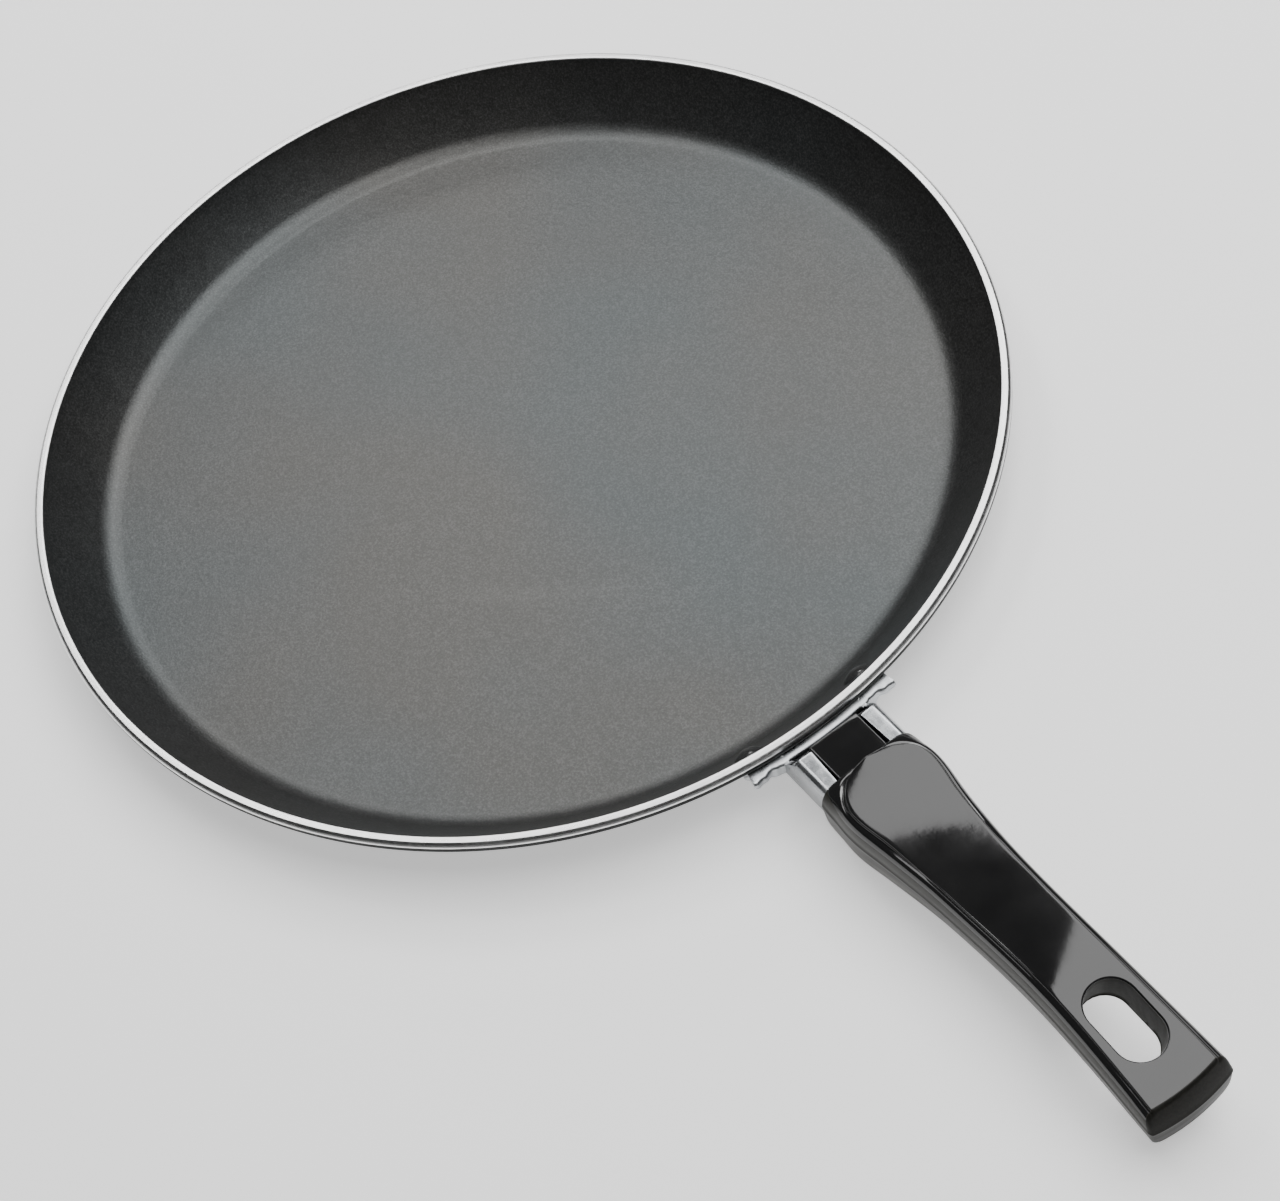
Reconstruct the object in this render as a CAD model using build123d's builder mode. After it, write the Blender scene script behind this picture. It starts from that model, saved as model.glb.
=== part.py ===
from build123d import *
import math
import os

# ---------------------------------------------------------------------------
# Crepe pan, millimetres.  Origin: centre of the pan's flat underside.
# +X runs along the handle, +Z is up, the pan is symmetric about the XZ plane.
# ---------------------------------------------------------------------------

# --- pressed pan body ------------------------------------------------------
sheet = 2.4                 # wall and floor thickness
rim_inner_r = 127.0         # inner edge of the rim land
rim_outer_r = 129.6         # outside of the rim bead
rim_land_r = 128.9          # where the flat rim land starts to round over
rim_z = 19.0                # height of the rim land
bead_round = 0.7            # rounding between rim land and bead side
bead_low_z = 17.3           # underside of the bead
floor_flat_r = 110.2        # radius of the flat floor
wall_angle = 47.0           # wall slope where it leaves the fillet, degrees
floor_fillet = 8.2          # inside radius between floor and wall

# --- handle bracket --------------------------------------------------------
steel = 1.5                 # bracket sheet thickness
channel_half = 12.6         # half of the channel's outside width
channel_low = 8.4           # underside of the web
channel_top = 21.5          # top of the inward flanges
channel_bend = 3.0          # outside bend radius
channel_end_x = 151.0       # end of the channel inside the handle
flange_gap_half = 7.8       # half the gap between the two top flanges
wing_start_y = 11.4         # wings start under the bend of the cheeks
wing_half_span = 21.0       # outer edge of the wings
wing_low = 6.6              # wing below the rivet, along the wall
wing_high = 5.4             # wing above the rivet, along the wall
wall_gap = 0.05             # clearance between flat sheet and round wall
tab_top_z = 15.4            # top edge of the front tab
lip_out_r = 131.9           # outside of the stiffening lip under the rim bead
lip_top_z = 15.6
lip_low_z = 11.6
lip_az = 9.2                # lip reaches this far each side, degrees

# --- rivets ----------------------------------------------------------------
rivet_az = 7.75             # degrees each side of the handle axis
rivet_z = 12.70             # height of the rivet axis on the inner wall face
rivet_shank_r = 2.4
rivet_head_r = 4.0
rivet_head_h = 1.7
rivet_tail_r = 3.9
rivet_tail_h = 2.0

# --- handle moulding: one row per cross-section ----------------------------
# x, height of the top land, half width of the land, half width of the body,
# height of the underside
stations = [
    (147.0, 24.60, 5.20, 12.30, 8.80),
    (148.4, 25.15, 7.90, 13.10, 7.80),
    (151.0, 25.26, 10.00, 13.80, 7.15),
    (155.0, 24.85, 11.40, 14.15, 6.90),
    (160.0, 24.35, 11.75, 14.15, 6.85),
    (167.0, 23.74, 10.60, 13.20, 7.20),
    (174.0, 23.36, 9.85, 12.35, 7.85),
    (184.0, 23.19, 9.15, 11.40, 9.10),
    (192.0, 23.28, 8.80, 10.95, 9.90),
    (200.0, 23.76, 8.60, 10.80, 10.50),
    (208.0, 24.28, 8.35, 10.55, 10.90),
    (216.0, 24.54, 8.22, 10.50, 11.00),
    (224.0, 24.30, 8.25, 10.58, 10.85),
    (232.0, 23.60, 8.40, 10.80, 10.30),
    (240.0, 22.55, 8.72, 11.10, 9.60),
    (248.0, 21.33, 9.05, 11.52, 8.70),
    (256.0, 19.97, 9.35, 11.92, 7.90),
    (264.0, 18.50, 9.65, 12.30, 7.10),
]
land_crown = 0.30           # rise of the land at its middle
handle_end_x = 259.9        # rear end on the centre line
handle_end_corner_x = 258.4 # rear end at the corners
nose_front_x = 134.6        # tongue that sits in the channel
nose_clear = 0.12           # tongue to channel clearance
slot_x0, slot_x1 = 226.3, 247.3   # hanging slot, end to end on the land
slot_half = 6.2
slot_tilt = 13.0            # slot leans back toward the pan going down, degrees
slot_z = 23.2               # height of the land at the middle of the slot

# --- screw, washer and insert ----------------------------------------------
screw_x = 142.0
screw_r = 2.0               # M4
screw_len = 9.0
head_r, head_h = 4.0, 2.5
washer_r, washer_t = 3.7, 1.0
insert_r, insert_len = 3.2, 6.5
insert_z0 = 10.5

os.makedirs("parts", exist_ok=True)

# ---------------------------------------------------------------------------
# Derived wall geometry
# ---------------------------------------------------------------------------
ca = math.cos(math.radians(wall_angle))
sa = math.sin(math.radians(wall_angle))
inner_c_z = sheet + floor_fillet                  # centre height of both fillets
fillet_c_r = floor_flat_r                         # centre radius of both fillets
wall_tan_z = inner_c_z - floor_fillet * ca        # inner wall leaves the fillet
wall_tan_r = fillet_c_r + floor_fillet * sa
outer_fillet = floor_fillet + sheet
outer_tan = (fillet_c_r + outer_fillet * sa, inner_c_z - outer_fillet * ca)
# above the fillet the wall bows gently upward to the rim: one tangent arc
chord_r = rim_inner_r - wall_tan_r
chord_z = rim_z - wall_tan_z
chord_angle = math.degrees(math.atan2(chord_z, chord_r))
wall_top_angle = 2 * chord_angle - wall_angle
wall_r = math.hypot(chord_r, chord_z) / (
    2 * math.sin(math.radians(chord_angle - wall_angle)))
wall_cr = wall_tan_r - wall_r * sa                # centre of the wall's arc
wall_cz = wall_tan_z + wall_r * ca


def outer_wall_r(z, gap=0.0):
    """Radius of the outer wall at height z."""
    return wall_cr + math.sqrt((wall_r + sheet + gap) ** 2 - (wall_cz - z) ** 2)


def outer_wall_point(z, gap=0.0):
    return (outer_wall_r(z, gap), z)


rivet_slope = math.acos((wall_cz - rivet_z) / wall_r)
rivet_r = wall_cr + wall_r * math.sin(rivet_slope)
rca, rsa = math.cos(rivet_slope), math.sin(rivet_slope)


def arc_mid(cx, cz, r, a0, a1):
    a = math.radians((a0 + a1) / 2)
    return (cx + r * math.cos(a), cz + r * math.sin(a))


def rivet_plane(side, depth):
    """Plane normal to the wall at a rivet, `depth` outward from the inner face."""
    a = math.radians(rivet_az * side)
    radial = (math.cos(a), math.sin(a))
    n = (rsa * radial[0], rsa * radial[1], -rca)
    up = (rca * radial[0], rca * radial[1], rsa)   # up the wall
    o = (rivet_r * radial[0] + n[0] * depth, rivet_r * radial[1] + n[1] * depth,
         rivet_z + n[2] * depth)
    return Plane(origin=o, x_dir=up, z_dir=n)


# ---------------------------------------------------------------------------
# Pan body: one pressed disc with a flared wall and a beaded rim
# ---------------------------------------------------------------------------
with BuildPart() as pan_body:
    with BuildSketch(Plane.XZ) as pan_section:
        with BuildLine():
            Line((0, 0), (fillet_c_r, 0))
            ThreePointArc((fillet_c_r, 0),
                          arc_mid(fillet_c_r, inner_c_z, outer_fillet,
                                  -90, -90 + wall_angle),
                          outer_tan)
            ThreePointArc(outer_tan, outer_wall_point(11.5),
                          outer_wall_point(bead_low_z - 0.35))
            Line((outer_wall_r(bead_low_z - 0.35), bead_low_z - 0.35),
                 (rim_outer_r, bead_low_z))
            Line((rim_outer_r, bead_low_z), (rim_outer_r, rim_z - bead_round))
            ThreePointArc((rim_outer_r, rim_z - bead_round),
                          arc_mid(rim_land_r, rim_z - bead_round, bead_round,
                                  0, 90),
                          (rim_land_r, rim_z))
            Line((rim_land_r, rim_z), (rim_inner_r, rim_z))
            ThreePointArc((rim_inner_r, rim_z),
                          arc_mid(wall_cr, wall_cz, wall_r, -90 + wall_angle,
                                  -90 + wall_top_angle),
                          (wall_tan_r, wall_tan_z))
            ThreePointArc((wall_tan_r, wall_tan_z),
                          arc_mid(fillet_c_r, inner_c_z, floor_fillet,
                                  -90 + wall_angle, -90),
                          (fillet_c_r, sheet))
            Line((fillet_c_r, sheet), (0, sheet))
            Line((0, sheet), (0, 0))
        make_face()
    revolve(axis=Axis.Z)
    for side in (-1, 1):
        with BuildSketch(rivet_plane(side, -1.0)):
            Circle(rivet_shank_r)
        extrude(amount=sheet + 2.0, mode=Mode.SUBTRACT)
pan_body.part.label = "pan_body"

# Clearance body: the pan's outside, grown by the wall gap, used to trim the
# bracket where it meets the round wall.
with BuildPart() as wall_keepout:
    with BuildSketch(Plane.XZ):
        with BuildLine():
            g = wall_gap
            ot = (fillet_c_r + (outer_fillet + g) * sa,
                  inner_c_z - (outer_fillet + g) * ca)
            top_z = 30.0
            top_p = outer_wall_point(top_z, g)
            Polyline((fillet_c_r, -g), (0, -g), (0, top_z), top_p)
            ThreePointArc(top_p, outer_wall_point(16.0, g), ot)
            ThreePointArc(ot,
                          arc_mid(fillet_c_r, inner_c_z, outer_fillet + g,
                                  -90 + wall_angle, -90),
                          (fillet_c_r, -g))
        make_face()
    revolve(axis=Axis.Z)

# ---------------------------------------------------------------------------
# Handle bracket: one stamped sheet.  A channel with inward top flanges, a
# front tab up the wall, and two riveted wings.
# ---------------------------------------------------------------------------
channel_mid = (channel_low + channel_top) / 2
channel_h = channel_top - channel_low
with BuildPart() as handle_bracket:
    # channel
    with BuildSketch(Plane.YZ.offset(112.0)):
        with Locations((0, channel_mid)):
            RectangleRounded(2 * channel_half, channel_h, channel_bend)
            RectangleRounded(2 * (channel_half - steel), channel_h - 2 * steel,
                             channel_bend - steel, mode=Mode.SUBTRACT)
        with Locations((0, channel_top)):
            Rectangle(2 * flange_gap_half, 8.0, mode=Mode.SUBTRACT)
    extrude(amount=channel_end_x - 112.0)
    # front tab: flat sheet laid up the wall between the cheeks
    tab_z = 12.0                                   # where the tab is tangent
    tab_slope = math.acos((wall_cz - tab_z) / (wall_r + sheet))
    tca, tsa = math.cos(tab_slope), math.sin(tab_slope)
    t0 = (outer_wall_r(tab_z) + g * tsa, tab_z - g * tca)
    tab_len = (tab_top_z - tab_z) / tsa
    tab_drop = (tab_z - channel_low - steel * 0.4) / tsa
    with BuildSketch(Plane.XZ.offset(-(channel_half - steel * 0.5))):
        with BuildLine():
            p0 = (t0[0] - tab_drop * tca, t0[1] - tab_drop * tsa)
            p1 = (t0[0] + tab_len * tca, t0[1] + tab_len * tsa)
            p2 = (p1[0] + steel * tsa, p1[1] - steel * tca)
            p3 = (p0[0] + steel * tsa, p0[1] - steel * tca)
            Polyline(p0, p1, p2, p3, close=True)
        make_face()
    extrude(amount=2 * (channel_half - steel * 0.5))
    # cheek fronts slope down from the flanges to the wings
    with BuildSketch(Plane.XZ.offset(-40)):
        with BuildLine():
            Polyline((100, 15.6), (131.2, 15.6), (133.6, 17.4), (135.6, 21.7),
                     (135.6, 40), (100, 40), close=True)
        make_face()
    extrude(amount=80, mode=Mode.SUBTRACT)
    # wings, flat against the wall
    for side in (-1, 1):
        wp = rivet_plane(side, sheet + wall_gap)
        # local x runs up the wall, local y runs along it
        s = 1 if wp.y_dir.Y > 0 else -1
        r0 = rivet_r * math.sin(math.radians(rivet_az))
        y_in = (wing_start_y - r0) * side * s
        y_out = (wing_half_span - r0) * side * s
        with BuildSketch(wp):
            with Locations(((wing_high - wing_low) / 2, (y_in + y_out) / 2)):
                RectangleRounded(wing_high + wing_low, abs(y_out - y_in), 2.2)
        extrude(amount=steel)
    # stiffening lip: turned out under the rim bead, then down again
    la = math.radians(-lip_az)
    lc, ls = math.cos(la), math.sin(la)
    with BuildSketch(Plane(origin=(0, 0, 0), x_dir=(lc, ls, 0),
                           z_dir=(ls, -lc, 0))):
        with BuildLine():
            lt = steel - 0.1
            Polyline((lip_out_r - 5.0, lip_top_z - lt),
                     (lip_out_r - 5.0, lip_top_z),
                     (lip_out_r - 0.8, lip_top_z), (lip_out_r, lip_top_z - 0.8),
                     (lip_out_r, lip_low_z), (lip_out_r - lt, lip_low_z),
                     (lip_out_r - lt, lip_top_z - lt), close=True)
        make_face()
    revolve(axis=Axis.Z, revolution_arc=2 * lip_az)
    add(wall_keepout.part, mode=Mode.SUBTRACT)
    # rivet holes
    for side in (-1, 1):
        with BuildSketch(rivet_plane(side, 0.0)):
            Circle(rivet_shank_r)
        extrude(amount=8.0, mode=Mode.SUBTRACT)
    # screw hole in the web
    with BuildSketch(Plane.XY.offset(channel_low - 1)):
        with Locations((screw_x, 0)):
            Circle(screw_r + 0.25)
    extrude(amount=steel + 2, mode=Mode.SUBTRACT)
handle_bracket.part.label = "handle_bracket"


# ---------------------------------------------------------------------------
# Rivets: domed head inside the pan, shank through wall and wing, flat tail
# ---------------------------------------------------------------------------
def rivet_profile():
    """Half section: x is radius, y is depth outward from the inner wall face."""
    grip = sheet + wall_gap + steel
    dome_r = (rivet_head_r ** 2 + rivet_head_h ** 2) / (2 * rivet_head_h)
    cy = -rivet_head_h + dome_r
    a = math.asin(rivet_head_r / dome_r) / 2
    return grip, (dome_r * math.sin(a), cy - dome_r * math.cos(a))


grip, dome_mid = rivet_profile()
rivets = []
for side, name in ((-1, "rivet_right"), (1, "rivet_left")):
    rp = rivet_plane(side, 0.0)
    section = Plane(origin=rp.origin, x_dir=rp.x_dir,
                    z_dir=rp.x_dir.cross(rp.z_dir))
    with BuildPart() as rivet:
        with BuildSketch(section):
            with BuildLine():
                ThreePointArc((0, -rivet_head_h), dome_mid, (rivet_head_r, 0))
                Polyline((rivet_head_r, 0), (rivet_shank_r, 0),
                         (rivet_shank_r, grip), (rivet_tail_r - 0.5, grip),
                         (rivet_tail_r, grip + 0.6),
                         (rivet_tail_r - 0.9, grip + rivet_tail_h),
                         (0, grip + rivet_tail_h), (0, -rivet_head_h))
            make_face()
        revolve(axis=Axis(rp.origin, rp.z_dir))
        add(pan_body.part, mode=Mode.SUBTRACT)
    rivet.part.label = name
    rivets.append(rivet)

# ---------------------------------------------------------------------------
# Handle: solid phenolic moulding with a tongue, a raised land on top, an
# arched underside and a hanging slot
# ---------------------------------------------------------------------------
with BuildPart() as handle:
    for x, zt, a, b, zb in stations:
        h = zt - zb
        with BuildSketch(Plane.YZ.offset(x)):
            with BuildLine():
                side_pts = [
                    (a, zt),
                    (a + 0.50 * (b - a), zt - 0.13 * h),
                    (b - 0.08 * (b - a), zt - 0.32 * h),
                    (b, zt - 0.50 * h),
                    (b - 0.35, zb + 0.26 * h),
                    (b - 1.25, zb + 0.075 * h),
                    (b - 3.2, zb),
                ]
                Spline(*side_pts)
                Line((b - 3.2, zb), (-(b - 3.2), zb))
                Spline(*[(-y, z) for y, z in reversed(side_pts)])
                ThreePointArc((-a, zt), (0, zt + land_crown), (a, zt))
            make_face()
    loft()
    # bowed rear end
    with BuildSketch(Plane.XY.offset(-5)):
        with BuildLine():
            Line((100, -30), (handle_end_corner_x - 6.3, -30))
            Line((handle_end_corner_x - 6.3, -30),
                 (handle_end_corner_x, -12.4))
            ThreePointArc((handle_end_corner_x, -12.4), (handle_end_x, 0),
                          (handle_end_corner_x, 12.4))
            Line((handle_end_corner_x, 12.4), (handle_end_corner_x - 6.3, 30))
            Line((handle_end_corner_x - 6.3, 30), (100, 30))
            Line((100, 30), (100, -30))
        make_face()
    extrude(amount=45, mode=Mode.INTERSECT)
    # bevel from the land down to the end face
    with BuildSketch(Plane.XZ.offset(-30)):
        with BuildLine():
            Polyline((256.6, 20.2), (258.4, 17.0), (259.6, 13.6), (266, 13.6),
                     (266, 29), (256.6, 29), close=True)
        make_face()
    extrude(amount=60, mode=Mode.SUBTRACT)
    # tongue between the cheeks of the channel
    nose_half = channel_half - steel - nose_clear
    web_top = channel_low + steel
    with BuildSketch(Plane.YZ.offset(nose_front_x)):
        with BuildLine():
            rib = flange_gap_half - 0.5
            zf = channel_top - steel - nose_clear
            Polyline((-nose_half + 1.7, web_top), (nose_half - 1.7, web_top),
                     (nose_half, web_top + 1.7), (nose_half, zf - 1.7),
                     (nose_half - 1.7, zf), (rib, zf),
                     (rib, channel_top - 1.5), (rib - 1.6, channel_top - 0.4),
                     (-rib + 1.6, channel_top - 0.4), (-rib, channel_top - 1.5),
                     (-rib, zf), (-nose_half + 1.7, zf),
                     (-nose_half, zf - 1.7), (-nose_half, web_top + 1.7),
                     close=True)
        make_face()
    extrude(amount=18.0)
    # socket for the end of the channel
    with BuildSketch(Plane.YZ.offset(channel_end_x - 7)):
        with Locations((0, channel_mid)):
            RectangleRounded(2 * (channel_half + nose_clear),
                             channel_h + 2 * nose_clear,
                             channel_bend + nose_clear)
            RectangleRounded(2 * nose_half, channel_h - 2 * steel - nose_clear,
                             channel_bend - steel, mode=Mode.SUBTRACT)
        with Locations((0, web_top)):
            Rectangle(2 * (nose_half - 1.6), 1.0, align=(Align.CENTER, Align.MIN),
                      mode=Mode.SUBTRACT)
        with Locations((0, channel_top + 3)):
            Rectangle(2 * (flange_gap_half - 0.5), 12.0, mode=Mode.SUBTRACT)
    extrude(amount=7.3, mode=Mode.SUBTRACT)
    # hanging slot, leaning along the bow of the handle
    tilt = math.radians(slot_tilt)
    slot_plane = Plane(origin=((slot_x0 + slot_x1) / 2, 0, slot_z),
                       x_dir=(math.cos(tilt), 0, -math.sin(tilt)),
                       z_dir=(math.sin(tilt), 0, math.cos(tilt)))
    with BuildSketch(slot_plane):
        SlotOverall((slot_x1 - slot_x0) * math.cos(tilt) + 0.4, 2 * slot_half)
    extrude(amount=30, both=True, mode=Mode.SUBTRACT)
    # cavity for the threaded insert, with the screw's run-out above it
    with BuildSketch(Plane.XY.offset(web_top - 0.5)):
        with Locations((screw_x, 0)):
            Circle(screw_r + 0.3)
    extrude(amount=insert_z0 + insert_len + 1.0 - web_top + 0.5,
            mode=Mode.SUBTRACT)
    with BuildSketch(Plane.XY.offset(insert_z0)):
        with Locations((screw_x, 0)):
            Circle(insert_r)
    extrude(amount=insert_len, mode=Mode.SUBTRACT)
handle.part.label = "handle"

# ---------------------------------------------------------------------------
# Threaded insert moulded into the tongue
# ---------------------------------------------------------------------------
with BuildPart() as threaded_insert:
    with BuildSketch(Plane.XY.offset(insert_z0)):
        with Locations((screw_x, 0)):
            Circle(insert_r)
            Circle(screw_r + 0.04, mode=Mode.SUBTRACT)
    extrude(amount=insert_len)
    with BuildSketch(Plane.XY.offset(insert_z0 + insert_len / 2 - 0.5)):
        with Locations((screw_x, 0)):
            Circle(insert_r + 1)
            Circle(insert_r - 0.5, mode=Mode.SUBTRACT)
    extrude(amount=1.0, mode=Mode.SUBTRACT)
threaded_insert.part.label = "threaded_insert"

# ---------------------------------------------------------------------------
# Spring lock washer with its split, and the pan-head screw below the web
# ---------------------------------------------------------------------------
washer_z = channel_low - washer_t
with BuildPart() as lock_washer:
    with BuildSketch(Plane.XY.offset(washer_z)):
        with Locations((screw_x, 0)):
            Circle(washer_r)
            Circle(screw_r + 0.15, mode=Mode.SUBTRACT)
        with Locations((screw_x, -washer_r)):
            Rectangle(0.5, 2 * washer_r, align=(Align.CENTER, Align.CENTER),
                      mode=Mode.SUBTRACT)
    extrude(amount=washer_t)
lock_washer.part.label = "lock_washer"

with BuildPart() as handle_screw:
    with BuildSketch(Plane.XY.offset(washer_z - head_h)):
        with Locations((screw_x, 0)):
            Circle(head_r)
    extrude(amount=head_h)
    with BuildSketch(Plane.XY.offset(washer_z - 0.2)):
        with Locations((screw_x, 0)):
            Circle(screw_r)
    extrude(amount=screw_len + 0.2)
    head_edge = handle_screw.edges().filter_by(GeomType.CIRCLE).sort_by(Axis.Z)[0]
    fillet(head_edge, 1.3)
    # cross recess in the head
    with BuildSketch(Plane.XY.offset(washer_z - head_h - 0.1)):
        with Locations((screw_x, 0)):
            Rectangle(4.0, 0.9)
            Rectangle(0.9, 4.0)
    extrude(amount=1.5, mode=Mode.SUBTRACT)
handle_screw.part.label = "handle_screw"

# ---------------------------------------------------------------------------
# Write one file per piece
# ---------------------------------------------------------------------------
export_step(pan_body.part, "parts/pan_body.step")
export_step(handle_bracket.part, "parts/handle_bracket.step")
for rivet in rivets:
    export_step(rivet.part, "parts/" + rivet.part.label + ".step")
export_step(handle.part, "parts/handle.step")
export_step(threaded_insert.part, "parts/threaded_insert.step")
export_step(lock_washer.part, "parts/lock_washer.step")
export_step(handle_screw.part, "parts/handle_screw.step")
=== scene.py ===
import bpy
import math
import random
from mathutils import Matrix, Vector


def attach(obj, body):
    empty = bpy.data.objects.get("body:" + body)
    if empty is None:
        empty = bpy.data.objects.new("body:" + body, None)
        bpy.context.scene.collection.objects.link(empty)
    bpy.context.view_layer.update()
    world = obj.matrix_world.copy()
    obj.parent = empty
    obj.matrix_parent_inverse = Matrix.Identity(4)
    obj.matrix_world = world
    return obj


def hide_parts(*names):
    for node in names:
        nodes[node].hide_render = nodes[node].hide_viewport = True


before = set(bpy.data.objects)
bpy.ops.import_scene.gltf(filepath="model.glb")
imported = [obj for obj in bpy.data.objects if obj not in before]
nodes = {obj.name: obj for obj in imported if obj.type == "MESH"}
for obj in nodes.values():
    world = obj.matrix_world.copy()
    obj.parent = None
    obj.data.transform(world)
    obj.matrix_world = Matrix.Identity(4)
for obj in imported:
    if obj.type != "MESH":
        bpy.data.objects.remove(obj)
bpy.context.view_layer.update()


MM = 0.001

# ---------------------------------------------------------------------------
# Shader helpers
# ---------------------------------------------------------------------------


def new_mat(name):
    m = bpy.data.materials.new(name)
    m.use_nodes = True
    nt = m.node_tree
    nt.nodes.clear()
    out = nt.nodes.new("ShaderNodeOutputMaterial")
    b = nt.nodes.new("ShaderNodeBsdfPrincipled")
    nt.links.new(b.outputs[0], out.inputs[0])
    return m, nt, b


def N(nt, kind, **inputs):
    n = nt.nodes.new(kind)
    for k, v in inputs.items():
        n.inputs[k.replace("_", " ")].default_value = v
    return n


def coords(nt, scale=(1, 1, 1)):
    tc = nt.nodes.new("ShaderNodeTexCoord")
    mp = nt.nodes.new("ShaderNodeMapping")
    mp.inputs["Scale"].default_value = scale
    nt.links.new(tc.outputs["Object"], mp.inputs["Vector"])
    return mp.outputs[0]


def noise(nt, vec, scale, detail=4.0, rough=0.5, dist=0.0):
    n = nt.nodes.new("ShaderNodeTexNoise")
    n.inputs["Scale"].default_value = scale
    n.inputs["Detail"].default_value = detail
    n.inputs["Roughness"].default_value = rough
    n.inputs["Distortion"].default_value = dist
    nt.links.new(vec, n.inputs["Vector"])
    return n.outputs["Fac"]


def ramp(nt, fac, stops):
    r = nt.nodes.new("ShaderNodeValToRGB")
    cr = r.color_ramp
    while len(cr.elements) < len(stops):
        cr.elements.new(0.5)
    for e, (p, c) in zip(cr.elements, stops):
        e.position = p
        e.color = (c[0], c[1], c[2], 1) if len(c) == 3 else c
    nt.links.new(fac, r.inputs["Fac"])
    return r.outputs["Color"]


def grey(v):
    return (v, v, v)


def remap(nt, fac, a, b, c, d):
    m = nt.nodes.new("ShaderNodeMapRange")
    m.inputs["From Min"].default_value = a
    m.inputs["From Max"].default_value = b
    m.inputs["To Min"].default_value = c
    m.inputs["To Max"].default_value = d
    nt.links.new(fac, m.inputs["Value"])
    return m.outputs[0]


def mix(nt, fac, a, b, mode="MIX"):
    m = nt.nodes.new("ShaderNodeMix")
    m.data_type = "RGBA"
    m.blend_type = mode
    for sock, val in ((m.inputs["Factor"], fac), (m.inputs["A"], a),
                      (m.inputs["B"], b)):
        if isinstance(val, (int, float)):
            sock.default_value = val
        elif isinstance(val, tuple):
            sock.default_value = (val[0], val[1], val[2], 1)
        else:
            nt.links.new(val, sock)
    return m.outputs["Result"]


def math_n(nt, op, a, b=None, c=None):
    m = nt.nodes.new("ShaderNodeMath")
    m.operation = op
    for i, v in enumerate((a, b, c)):
        if v is None:
            continue
        if isinstance(v, (int, float)):
            m.inputs[i].default_value = v
        else:
            nt.links.new(v, m.inputs[i])
    return m.outputs[0]


def bump(nt, bsdf, height, strength, dist=0.001, prev=None):
    b = nt.nodes.new("ShaderNodeBump")
    b.inputs["Strength"].default_value = strength
    b.inputs["Distance"].default_value = dist
    nt.links.new(height, b.inputs["Height"])
    if prev is not None:
        nt.links.new(prev, b.inputs["Normal"])
    nt.links.new(b.outputs[0], bsdf.inputs["Normal"])
    return b.outputs[0]


def radius_of(nt):
    """Distance from the pan's axis, in metres, from object coordinates."""
    tc = nt.nodes.new("ShaderNodeTexCoord")
    sp = nt.nodes.new("ShaderNodeSeparateXYZ")
    nt.links.new(tc.outputs["Object"], sp.inputs[0])
    x2 = math_n(nt, "MULTIPLY", sp.outputs[0], sp.outputs[0])
    y2 = math_n(nt, "MULTIPLY", sp.outputs[1], sp.outputs[1])
    return (math_n(nt, "SQRT", math_n(nt, "ADD", x2, y2)), sp.outputs[0],
            sp.outputs[1], sp.outputs[2])


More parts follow.
